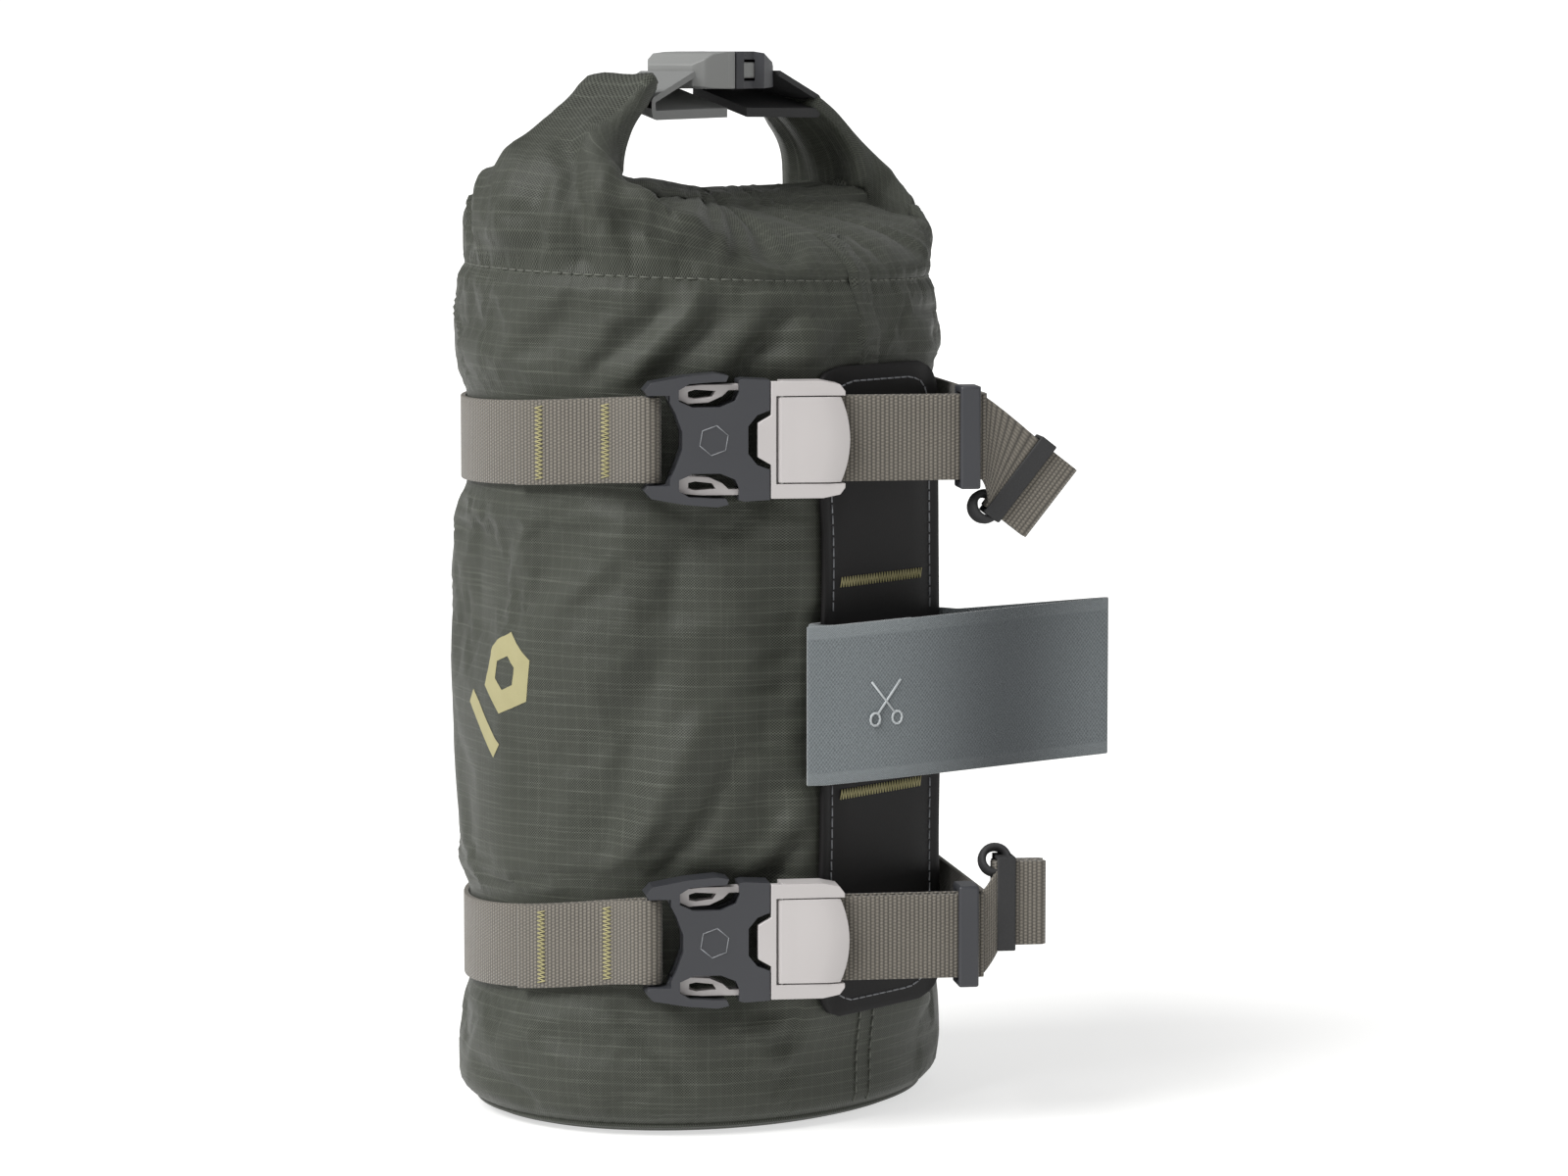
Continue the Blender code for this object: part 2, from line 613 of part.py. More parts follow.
clear_scene()
PARTS = make_collection("saddle_bag")
CUTTERS = make_collection("cutters")
build_body()
build_collar()
build_roll_top()
build_top_buckle()
build_straps()
build_strap_buckles()
build_tails()
build_back_panel()
build_hook_strap()
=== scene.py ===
"""The looks of the roll-top strap-on bag: ripstop skin, webbing, moulded buckles, rear panel and hook strap.

Metres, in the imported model's frame: origin at the middle of the base, +X out of the rear panel, Y along the
roll, +Z up. Cloth pieces carry a UV map called "cloth", measured in metres along and across the fabric.
"""

import math

import bmesh
import bpy
from mathutils import Matrix, Vector, noise
from mathutils.bvhtree import BVHTree


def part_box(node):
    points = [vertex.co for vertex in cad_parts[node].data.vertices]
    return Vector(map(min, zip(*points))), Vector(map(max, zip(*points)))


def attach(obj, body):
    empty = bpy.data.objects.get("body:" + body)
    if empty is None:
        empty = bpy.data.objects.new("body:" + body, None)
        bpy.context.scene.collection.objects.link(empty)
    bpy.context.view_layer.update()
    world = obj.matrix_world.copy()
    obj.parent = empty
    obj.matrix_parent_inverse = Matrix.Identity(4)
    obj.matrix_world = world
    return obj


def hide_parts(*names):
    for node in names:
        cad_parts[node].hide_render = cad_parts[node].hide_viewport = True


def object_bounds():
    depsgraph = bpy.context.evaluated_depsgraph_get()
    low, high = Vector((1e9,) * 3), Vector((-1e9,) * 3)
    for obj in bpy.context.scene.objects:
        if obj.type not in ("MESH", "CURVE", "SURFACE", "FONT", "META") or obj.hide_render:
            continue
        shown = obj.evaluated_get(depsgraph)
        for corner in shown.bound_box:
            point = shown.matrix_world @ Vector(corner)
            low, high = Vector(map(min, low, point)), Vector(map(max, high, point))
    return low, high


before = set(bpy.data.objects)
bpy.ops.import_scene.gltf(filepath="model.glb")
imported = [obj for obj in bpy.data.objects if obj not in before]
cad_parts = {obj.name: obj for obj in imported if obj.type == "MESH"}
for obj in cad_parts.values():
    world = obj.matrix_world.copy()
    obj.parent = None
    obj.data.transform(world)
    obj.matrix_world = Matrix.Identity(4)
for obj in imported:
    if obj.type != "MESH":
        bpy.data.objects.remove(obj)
CAD_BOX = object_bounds()

MM = 0.001
UP = Vector((0, 0, 1))
BUCKLE_TURN = math.radians(-42)
STRAPS = ("upper", "lower")
HOOK_HEIGHT = 46.8 * MM
SHADE_MIDDLE = 62 * MM          # the middle of the painted shade on the hook strap's front layer, from its free end
SHADE_HALF = 25 * MM


# ---------------------------------------------------------------- shading helpers

def colour(code):
    """A linear colour from an sRGB hex value."""
    parts = [int(code[index:index + 2], 16) / 255 for index in (1, 3, 5)]
    return [part / 12.92 if part <= 0.04045 else ((part + 0.055) / 1.055) ** 2.4 for part in parts] + [1]


def add(tree, kind, inputs=None, **settings):
    """One node with its settings; an input takes a value or another node's output."""
    node = tree.nodes.new(kind)
    for name, value in settings.items():
        setattr(node, name, value)
    for socket, value in (inputs or {}).items():
        if isinstance(value, bpy.types.NodeSocket):
            tree.links.new(value, node.inputs[socket])
        else:
            node.inputs[socket].default_value = value
    return node


def start_material(name, roughness, **sockets):
    material = bpy.data.materials.new(name)
    material.use_nodes = True
    tree = material.node_tree
    shader = tree.nodes["Principled BSDF"]
    shader.inputs["Roughness"].default_value = roughness
    for socket, value in sockets.items():
        shader.inputs[socket.replace("_", " ")].default_value = value
    return material, tree, shader


def cloth_axes(tree):
    """Metres along and across the cloth."""
    place = add(tree, "ShaderNodeUVMap", uv_map="cloth")
    split = add(tree, "ShaderNodeSeparateXYZ", {0: place.outputs[0]})
    return place.outputs[0], split.outputs["X"], split.outputs["Y"]


def maths(tree, operation, first, second=0.0, third=0.0):
    return add(tree, "ShaderNodeMath", {0: first, 1: second, 2: third}, operation=operation).outputs[0]


def wave(tree, value, period, shift=0.0):
    """A sine of -1 to 1 that repeats every period metres."""
    angle = maths(tree, "MULTIPLY_ADD", value, 2 * math.pi / period, shift)
    return maths(tree, "SINE", angle)


def blend_colours(tree, factor, first, second):
    mix = add(tree, "ShaderNodeMix", data_type="RGBA")
    for socket, value in ((0, factor), (6, first), (7, second)):
        if isinstance(value, bpy.types.NodeSocket):
            tree.links.new(value, mix.inputs[socket])
        else:
            mix.inputs[socket].default_value = value
    return mix.outputs[2]


def finish_material(tree, shader, tint, height, distance, strength=1.0, roughness=None):
    tree.links.new(tint, shader.inputs["Base Color"])
    bump = add(tree, "ShaderNodeBump", {"Height": height, "Distance": distance, "Strength": strength})
    tree.links.new(bump.outputs[0], shader.inputs["Normal"])
    if roughness is not None:
        tree.links.new(roughness, shader.inputs["Roughness"])


# ---------------------------------------------------------------- materials

def make_ripstop():
    """PU-coated nylon ripstop: a fine plain weave with heavier threads in squares, faintly shiny on folds."""
    material, tree, shader = start_material("olive_ripstop_nylon", 0.5, Sheen_Weight=0.06,
                                            Sheen_Roughness=0.4, Specular_IOR_Level=0.22)
    place, along, across = cloth_axes(tree)
    thread = 0.8 * MM             # real threads are 0.3 mm apart: drawn coarse enough to show
    square = 3.6 * MM
    weave = maths(tree, "MULTIPLY", wave(tree, along, thread), wave(tree, across, thread))
    lines = []
    for axis, shift in ((along, 0.0), (across, 0.9)):
        line = maths(tree, "ABSOLUTE", wave(tree, axis, square * 2, shift))
        lines.append(maths(tree, "POWER", line, 36.0))
    grid = maths(tree, "MULTIPLY_ADD", lines[0], 0.45, lines[1])
    slubs = []
    for stretch, least in (((30, 1100, 1), 0.58), ((1100, 24, 1), 0.62)):
        drawn = add(tree, "ShaderNodeMapping", {"Vector": place, "Scale": stretch})
        streaks = add(tree, "ShaderNodeTexNoise", {"Vector": drawn.outputs[0], "Scale": 1.0, "Detail": 2.0})
        slubs.append(add(tree, "ShaderNodeMapRange", {"Value": streaks.outputs["Fac"], "From Min": least,
                                                      "From Max": least + 0.16}).outputs[0])
    slub = maths(tree, "MULTIPLY_ADD", slubs[1], 0.45, slubs[0])
    cloudy = add(tree, "ShaderNodeTexNoise", {"Vector": place, "Scale": 22.0, "Detail": 3.0})
    level = maths(tree, "MULTIPLY_ADD", weave, 0.52, 0.36)
    level = maths(tree, "MULTIPLY_ADD", slub, 0.32, level)
    level = maths(tree, "MULTIPLY_ADD", grid, 0.19, level)
    level = add(tree, "ShaderNodeClamp", {"Value": level}).outputs[0]
    tint = blend_colours(tree, level, colour("#151611"), colour("#60635a"))
    tint = blend_colours(tree, maths(tree, "MULTIPLY", cloudy.outputs["Fac"], 0.5), tint, colour("#2e302a"))
    height = maths(tree, "MULTIPLY_ADD", grid, 0.45, maths(tree, "MULTIPLY", weave, 0.5))
    height = maths(tree, "ADD", height, slub)
    finish_material(tree, shader, tint, height, 0.10 * MM, 0.8)
    return material


def make_webbing():
    """Woven nylon webbing: ribs across the strap with dark gaps between them, each a row of small beads."""
    material, tree, shader = start_material("grey_brown_webbing", 0.8, Sheen_Weight=0.2, Sheen_Roughness=0.5)
    place, along, across = cloth_axes(tree)
    rib = 1.3 * MM
    bead = 1.0 * MM
    gap = maths(tree, "ABSOLUTE", wave(tree, along, rib * 2))
    number = maths(tree, "FLOOR", maths(tree, "DIVIDE", along, rib))
    shift = maths(tree, "MULTIPLY", number, math.pi)
    angle = maths(tree, "MULTIPLY_ADD", across, 2 * math.pi / bead, shift)
    beads = maths(tree, "MULTIPLY_ADD", maths(tree, "SINE", angle), 0.5, 0.5)
    beads = maths(tree, "MULTIPLY_ADD", beads, 0.6, 0.4)
    height = maths(tree, "MULTIPLY", maths(tree, "POWER", gap, 0.9), beads)
    grain = add(tree, "ShaderNodeTexNoise", {"Vector": place, "Scale": 1800.0, "Detail": 2.0})
    cloudy = add(tree, "ShaderNodeTexNoise", {"Vector": place, "Scale": 60.0, "Detail": 2.0})
    tint = blend_colours(tree, height, colour("#201e1b"), colour("#7f796f"))
    tint = blend_colours(tree, maths(tree, "MULTIPLY", grain.outputs["Fac"], 0.2), tint, colour("#5d5850"))
    tint = blend_colours(tree, maths(tree, "MULTIPLY", cloudy.outputs["Fac"], 0.25), tint, colour("#6f695f"))
    finish_material(tree, shader, tint, height, 0.3 * MM, 0.9)
    return material


def make_hook_tape():
    """Hook-and-loop tape: knitted grey rows, very matt, with painted shade darkening a stretch in the middle
    where the bowed strap turns from the light.
    """
    material, tree, shader = start_material("grey_hook_tape", 0.92, Sheen_Weight=0.55, Sheen_Roughness=0.45)
    place, along, across = cloth_axes(tree)
    row = 1.0 * MM
    selvedge = maths(tree, "MINIMUM", across, maths(tree, "SUBTRACT", HOOK_HEIGHT, across))
    selvedge = add(tree, "ShaderNodeMapRange", {"Value": selvedge, "From Min": 3.3 * MM, "From Max": 3.9 * MM,
                                                "To Min": 1.0, "To Max": 0.0}).outputs[0]
    knit = maths(tree, "MULTIPLY", wave(tree, along, row), wave(tree, across, row * 1.3))
    fine = maths(tree, "MULTIPLY", wave(tree, along, row * 0.7), wave(tree, across, row * 0.7))
    knit = add(tree, "ShaderNodeMix", {0: selvedge, 2: knit, 3: fine}).outputs[0]
    fluff = add(tree, "ShaderNodeTexNoise", {"Vector": place, "Scale": 1300.0, "Detail": 3.0})
    cloudy = add(tree, "ShaderNodeTexNoise", {"Vector": place, "Scale": 26.0, "Detail": 3.0})
    height = maths(tree, "MULTIPLY_ADD", knit, 0.6, fluff.outputs["Fac"])
    height = maths(tree, "MULTIPLY_ADD", selvedge, -0.7, height)
    mottled = maths(tree, "MULTIPLY_ADD", knit, 0.34, maths(tree, "MULTIPLY", fluff.outputs["Fac"], 0.75))
    tint = blend_colours(tree, mottled, colour("#4d5254"), colour("#868d90"))
    tint = blend_colours(tree, maths(tree, "MULTIPLY", cloudy.outputs["Fac"], 0.45), tint, colour("#5c6164"))
    tint = blend_colours(tree, maths(tree, "MULTIPLY", selvedge, 0.45), tint, colour("#7d8385"))
    # painted shade: a soft dark band along the strap's front layer, where its bow turns away from the key
    # light
    away = maths(tree, "DIVIDE", maths(tree, "SUBTRACT", along, SHADE_MIDDLE), SHADE_HALF)
    painted_shade = maths(tree, "EXPONENT", maths(tree, "MULTIPLY", maths(tree, "MULTIPLY", away, away), -1.0))
    tint = blend_colours(tree, maths(tree, "MULTIPLY", painted_shade, 0.78), tint, colour("#2c3033"))
    finish_material(tree, shader, tint, height, 0.16 * MM, 0.8)
    return material


def make_plain(name, low, high, roughness, grain, depth, spread=25.0, **sockets):
    """A moulded or coated surface: two near tones in soft clouds, and a fine grain in real millimetres."""
    material, tree, shader = start_material(name, roughness, **sockets)
    place = add(tree, "ShaderNodeTexCoord").outputs["Object"]
    cloudy = add(tree, "ShaderNodeTexNoise", {"Vector": place, "Scale": spread, "Detail": 3.0})
    fine = add(tree, "ShaderNodeTexNoise", {"Vector": place, "Scale": 1 / grain, "Detail": 3.0})
    tint = blend_colours(tree, cloudy.outputs["Fac"], colour(low), colour(high))
    rough = maths(tree, "MULTIPLY_ADD", fine.outputs["Fac"], 0.16, roughness - 0.08)
    finish_material(tree, shader, tint, fine.outputs["Fac"], depth, 0.6, rough)
    return material


RIPSTOP = make_ripstop()
WEBBING = make_webbing()
HOOK_TAPE = make_hook_tape()
SLATE_ACETAL = make_plain("slate_acetal", "#2c2d31", "#36373b", 0.42, 0.35 * MM, 0.03 * MM)
IVORY_ACETAL = make_plain("ivory_acetal", "#aca7a6", "#b8b4b3", 0.45, 0.35 * MM, 0.02 * MM)
GREY_ACETAL = make_plain("grey_acetal", "#767776", "#838482", 0.42, 0.35 * MM, 0.02 * MM)
COATED_PANEL = make_plain("rubber_coated_fabric", "#121112", "#1c1b1b", 0.55, 0.5 * MM, 0.06 * MM,
                          Specular_IOR_Level=0.18)
BLACK_TAPE = make_plain("black_webbing_tab", "#1e1e1f", "#2b2b2c", 0.75, 0.6 * MM, 0.12 * MM)
GREY_TAPE = make_plain("grey_coated_tab", "#6d6e6d", "#7b7c7b", 0.6, 0.6 * MM, 0.08 * MM)
STEEL_WIRE = make_plain("drawn_steel_wire", "#8b8b8b", "#9a9a9a", 0.32, 0.3 * MM, 0.01 * MM, Metallic=1.0)
TACK_THREAD = make_plain("olive_yellow_thread", "#8d875c", "#aaa37a", 0.7, 0.25 * MM, 0.08 * MM, 200.0)
DARK_THREAD = make_plain("grey_thread", "#4d4f48", "#5d5f57", 0.7, 0.25 * MM, 0.08 * MM, 200.0)
GREY_THREAD = make_plain("panel_thread", "#6b6c6e", "#83858a", 0.7, 0.25 * MM, 0.08 * MM, 200.0)
KHAKI_INK = make_plain("khaki_screen_ink", "#8f8963", "#9e9871", 0.6, 0.5 * MM, 0.05 * MM, 120.0)
PALE_INK = make_plain("pale_screen_ink", "#9ea3a5", "#adb1b3", 0.7, 0.5 * MM, 0.05 * MM, 120.0)


# ---------------------------------------------------------------- mesh helpers

def new_piece(name, work, material, smooth=True):
    """A finished bmesh as one piece of the object."""
    mesh = bpy.data.meshes.new(name)
    work.to_mesh(mesh)
    work.free()
    piece = bpy.data.objects.new(name, mesh)
    bpy.context.scene.collection.objects.link(piece)
    mesh.materials.append(material)
    if smooth:
        mesh.shade_smooth()
    return piece


def cloth_grid(columns, rows, place, measure, weld=0.0):
    """A sheet of faces: place(a, b) puts each point, and measure(a, b) is its place on the cloth."""
    work = bmesh.new()
    layer = work.loops.layers.uv.new("cloth")
    bmesh.ops.create_grid(work, x_segments=columns, y_segments=rows, size=0.5)
    flat = {}
    for vert in work.verts:
        flat[vert] = (round((vert.co.x + 0.5) * columns) / columns, round((vert.co.y + 0.5) * rows) / rows)
    for face in work.faces:
        for loop in face.loops:
            loop[layer].uv = measure(*flat[loop.vert])
    for vert, (a, b) in flat.items():
        vert.co = place(a, b)
    if weld:
        bmesh.ops.remove_doubles(work, verts=work.verts, dist=weld)
    return work


def thicken(piece, thickness, bevel):
    """Walls of equal thickness on both sides of a sheet, with softened edges."""
    wall = piece.modifiers.new("thickness", "SOLIDIFY")
    wall.thickness = thickness
    wall.offset = 0.0
    wall.use_even_offset = True
    soften(piece, bevel)


def soften(piece, width, segments=2, angle=40):
    edge = piece.modifiers.new("soft edges", "BEVEL")
    edge.width = width
    edge.segments = segments
    edge.limit_method = "ANGLE"
    edge.angle_limit = math.radians(angle)
    edge.harden_normals = False


def fillet_path(points, radii, step=math.radians(12)):
    """A flat polyline whose inner corners are rounded by arcs, with one radius for each inner corner."""
    path = [Vector(points[0])]
    for index, radius in enumerate(radii, start=1):
        corner = Vector(points[index])
        back = (Vector(points[index - 1]) - corner).normalized()
        ahead = (Vector(points[index + 1]) - corner).normalized()
        half = back.angle(ahead) / 2
        centre = corner + (back + ahead).normalized() * (radius / math.sin(half))
        start = corner + back * (radius / math.tan(half)) - centre
        end = corner + ahead * (radius / math.tan(half)) - centre
        sweep = math.pi - 2 * half
        sign = 1 if start.x * end.y - start.y * end.x > 0 else -1
        count = max(2, math.ceil(sweep / step))
        for turn in range(count + 1):
            path.append(centre + Matrix.Rotation(sign * sweep * turn / count, 2) @ start)
    path.append(Vector(points[-1]))
    return path


def even_path(points, spacing):
    """The same path with its points a steady distance apart, and its length."""
    lengths = [0.0]
    for first, second in zip(points, points[1:]):
        lengths.append(lengths[-1] + (second - first).length)
    total = lengths[-1]
    count = max(2, round(total / spacing))
    result = []
    index = 0
    for number in range(count + 1):
        target = total * number / count
        while index < len(lengths) - 2 and lengths[index + 1] < target:
            index += 1
        span = lengths[index + 1] - lengths[index]
        result.append(points[index].lerp(points[index + 1], (target - lengths[index]) / span if span else 0))
    return result, total


def webbing_strip(name, path, level, height, thickness, material, across=6, spacing=2 * MM, bevel=0.25 * MM):
    """A strap standing on its edge along a flat path: level(point) is the height of its middle."""
    points, total = even_path(path, spacing)
    columns = len(points) - 1

    def place(a, b):
        point = points[round(a * columns)]
        return Vector((point.x, point.y, level(point) + (b - 0.5) * height))
    work = cloth_grid(columns, across, place, lambda a, b: (a * total, b * height))
    bmesh.ops.recalc_face_normals(work, faces=work.faces)
    piece = new_piece(name, work, material)
    thicken(piece, thickness, bevel)
    return piece


def smooth_step(value):
    value = min(max(value, 0.0), 1.0)
    return value * value * (3 - 2 * value)


def bell(away, width):
    """1 where away is 0, fading to nothing within about twice the width."""
    return math.exp(-(away / width) ** 2)


def middle_height(node):
    low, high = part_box(node)
    return (low.z + high.z) / 2


# ---------------------------------------------------------------- the fabric skin

BODY_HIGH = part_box("body_shell")[1]
HALF_X = BODY_HIGH.x
HALF_Y = BODY_HIGH.y
SEAM_Z = BODY_HIGH.z + 0.5 * MM
PANEL_LOW, PANEL_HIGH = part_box("back_panel")
LEVELS = {which: middle_height(f"{which}_buckle_female") for which in STRAPS}
LEFT_RISE = {"upper": 0.066, "lower": 0.14}
RISE_START = -16 * MM
VIEW_TURN = math.radians(40)
RIGHT = Vector((math.cos(VIEW_TURN), math.sin(VIEW_TURN)))       # sideways across the side with the buckles
TOP_Z = CAD_BOX[1].z
TAPE_Z = middle_height("hook_strap") - 2.7 * MM
COLUMNS = 240
BODY_ROWS = 134
COLLAR_ROWS = 44
WALL_ROWS = BODY_ROWS + COLLAR_ROWS
ARM_ANGLE = math.radians(46)
ARM_HALF = 15.3 * MM
# the roll's two ends: foot out and up from the seam, tip out and down from the top, sideways bow, in mm,
# and the share by which the arm narrows
ARMS = {"near": (57, 26, -34, 7, 3.0, 0.12), "far": (63, 19, 43, 14, 6.5, 0.3)}
STRAP_HALF = 12.5 * MM
BASE_ROUND = 9 * MM
BASE_TUCK = 7.5 * MM
STRAP_BITE = 2.1 * MM         # how deep a strap and the seam's thread pull the cloth in
SEAM_BITE = 2.2 * MM

# long pulled folds on the side with the buckles: start and end as (side distance, height), width, rise, in mm
LONG_FOLDS = [
    ((-1, 196), (-8, 146), 7, -3.6), ((-6, 160), (-33, 70), 7.5, -4.2), ((-22, 190), (-27, 120), 9, 2.4),
    ((6, 132), (-22, 80), 5, 3.2), ((16, 120), (-12, 72), 4, -2.4), ((38, 104), (10, 74), 4, 2.2),
    ((34, 92), (16, 72), 3.4, -2.4), ((24, 196), (10, 140), 8, 1.6), ((34, 176), (22, 120), 6, -1.6),
    ((-2, 251), (-36, 222), 4.5, -3.2), ((4, 250), (-24, 220), 3.6, 1.8), ((12, 249), (-14, 220), 4.2, -3.0),
    ((22, 248), (2, 222), 3.6, 1.8), ((30, 246), (10, 222), 4, -2.6), ((-30, 252), (-52, 226), 5, -1.6),
    ((48, 240), (34, 222), 4, -1.6), ((-38, 302), (-33, 246), 4.5, -4.2), ((-30, 300), (-25, 272), 5, 2.6),
    ((-52, 296), (-56, 256), 5, 2.0), ((-46, 290), (-48, 256), 4, -1.8), ((-26, 274), (4, 256), 3.6, -2.8),
    ((-24, 281), (12, 265), 3.6, 2.2), ((-26, 276), (-14, 256), 3, -1.8), ((6, 262), (34, 257), 3.4, -2.2),
    ((30, 40), (54, 8), 5, 1.8), ((-56, 36), (-22, 6), 5, 1.6), ((-26, 42), (2, 12), 4.4, -1.6),
    ((8, 40), (26, 14), 5, 1.4), ((20, 26), (40, 34), 4, -1.6), ((-70, 20), (-44, 6), 3, -1.6),
]
SEAM_FALL = 0.036
SETTLE_FRAMES = 20


def seam_height(x, y):
    """The collar seam sits a little lower on the side where the buckles' straps end."""
    return SEAM_Z - SEAM_FALL * (x * RIGHT.x + y * RIGHT.y)


def strap_level(which, x, y):
    """The middle height of a strap where it passes this side of the body."""
    reach = x * RIGHT.x + y * RIGHT.y - RISE_START
    return LEVELS[which] + LEFT_RISE[which] * min(reach, 0)


def body_point(angle, height):
    """The filled body: an oval tube, round at the base, pulled in by the straps and flat behind the panel."""
    x_side, y_side = math.cos(angle), math.sin(angle)
    base = 1 - smooth_step(height / BASE_ROUND)
    out = 0.1 * MM - BASE_TUCK * base ** 1.6
    for which in STRAPS:
        middle = strap_level(which, HALF_X * x_side, HALF_Y * y_side)
        away = abs(height - middle) - STRAP_HALF
        out -= STRAP_BITE * (1 - smooth_step(away / (12 * MM)))
    away = height - seam_height(HALF_X * x_side, HALF_Y * y_side)
    out -= SEAM_BITE * bell(away, 3.0 * MM)
    x = (HALF_X + out) * x_side
    y = (HALF_Y + out) * y_side
    flat = 1 - smooth_step((abs(y) - 24 * MM) / (16 * MM))
    upright = smooth_step((height - 18 * MM) / (20 * MM)) * (1 - smooth_step((height - 230 * MM) / (18 * MM)))
    if x > 0:
        x += max(0, PANEL_LOW.x - 1.0 * MM - x) * flat * upright
        tape = 1 - smooth_step((abs(height - TAPE_Z) - 24.5 * MM) / (5 * MM))
        x -= 1.9 * MM * tape * flat
    return Vector((x, y, height))


def top_edge(angle):
    """Where the collar's cloth meets the roll at this angle: along the ridge, and up an arm at either end."""
    side = math.copysign(1, math.sin(angle))
    front = 1 if math.cos(angle) >= 0 else -1
    lean = math.asin(min(1, abs(math.sin(angle))))
    foot_out, foot_up, tip_out, tip_down, bulge, narrowing = ARMS["near" if side < 0 else "far"]
    base = Vector((0, side * foot_out * MM, SEAM_Z + foot_up * MM))
    tip = Vector((0, tip_out * MM, TOP_Z - tip_down * MM))
    if lean < ARM_ANGLE:
        share = math.sin(lean) / math.sin(ARM_ANGLE)
        y = share * base.y
        ridge = SEAM_Z + 18.5 * MM
        return Vector((front * ARM_HALF, y, ridge + (base.z - ridge) * share ** 2.4)), 0.0, side
    climb = (lean - ARM_ANGLE) / (math.pi / 2 - ARM_ANGLE)
    rise = min(climb / 0.88, 1)
    bow = math.sin(math.pi * rise)
    y = base.y + (tip.y - base.y) * rise + side * bulge * MM * bow
    z = base.z + (tip.z - base.z) * rise + 2.0 * MM * bow
    half = ARM_HALF * (1 - narrowing * rise)
    x = half * (1 - max(0, (climb - 0.88) / 0.12))
    return Vector((front * x, y, z)), rise, side


def collar_point(angle, share):
    """The collar's cloth between the stitched seam and the roll, as a smooth curve at each angle."""
    foot = body_point(angle, seam_height(HALF_X * math.cos(angle), HALF_Y * math.sin(angle)))
    head, rise, side = top_edge(angle)
    lean = smooth_step((abs(math.sin(angle)) - 0.35) / 0.5)
    out = Vector((math.cos(angle), math.sin(angle), 0))
    stand = 9 * MM + (28 if side < 0 else 20) * MM * lean
    swell = Vector((0, 0, stand)) + out * (3.5 * MM + 1.0 * MM * lean)
    along_arm = Vector((0, -side * 0.79, 0.61))
    across = Vector((-math.cos(angle), 0, 0.35)).normalized()
    arrive = (across * (1 - lean) + along_arm * lean).normalized()
    reach = 14 * MM + 24 * MM * lean * max(rise, 0.15)
    knee = foot + swell
    neck = head - arrive * reach
    rest = 1 - share
    return (foot * rest ** 3 + knee * 3 * rest * rest * share + neck * 3 * rest * share * share
            + head * share ** 3)


def wall_point(a, b):
    angle = 2 * math.pi * a
    row = b * WALL_ROWS
    if row <= BODY_ROWS:
        seam = seam_height(HALF_X * math.cos(angle), HALF_Y * math.sin(angle))
        return body_point(angle, 1.2 * MM + (seam - 1.2 * MM) * row / BODY_ROWS)
    return collar_point(angle, (row - BODY_ROWS) / COLLAR_ROWS)


def wall_measure(a, b):
    row = b * WALL_ROWS
    around = a * 2 * math.pi * (HALF_X + HALF_Y) / 2
    if row <= BODY_ROWS:
        return around, SEAM_Z * row / BODY_ROWS
    return around, SEAM_Z + 56 * MM * (row - BODY_ROWS) / COLLAR_ROWS


def ridge_fold(point, start, end, width):
    """How strongly a long fold from start to end, given as (side distance, height), lifts the cloth here."""
    spot = Vector((point.x * RIGHT.x + point.y * RIGHT.y, point.z))
    run = end - start
    share = (spot - start).dot(run) / run.length_squared
    away = (spot - start - run * share).length / width
    fade = smooth_step(share / 0.25) * smooth_step((1 - share) / 0.25) if 0 < share < 1 else 0
    return math.exp(-away * away) * fade


def held_cloth(point):
    """Near 1 where a strap, the panel, the seam or the base holds the cloth still, and 0 where it is free."""
    held = 1 - smooth_step((point.z - 3 * MM) / (7 * MM))
    for which in STRAPS:
        away = abs(point.z - strap_level(which, point.x, point.y)) - STRAP_HALF
        held = max(held, 1 - smooth_step((away - 0.5 * MM) / (5 * MM)))
    if point.x > 0 and point.z < PANEL_HIGH.z + 2 * MM:
        held = max(held, 1 - smooth_step((abs(point.y) - 27 * MM) / (5 * MM)))
    return held


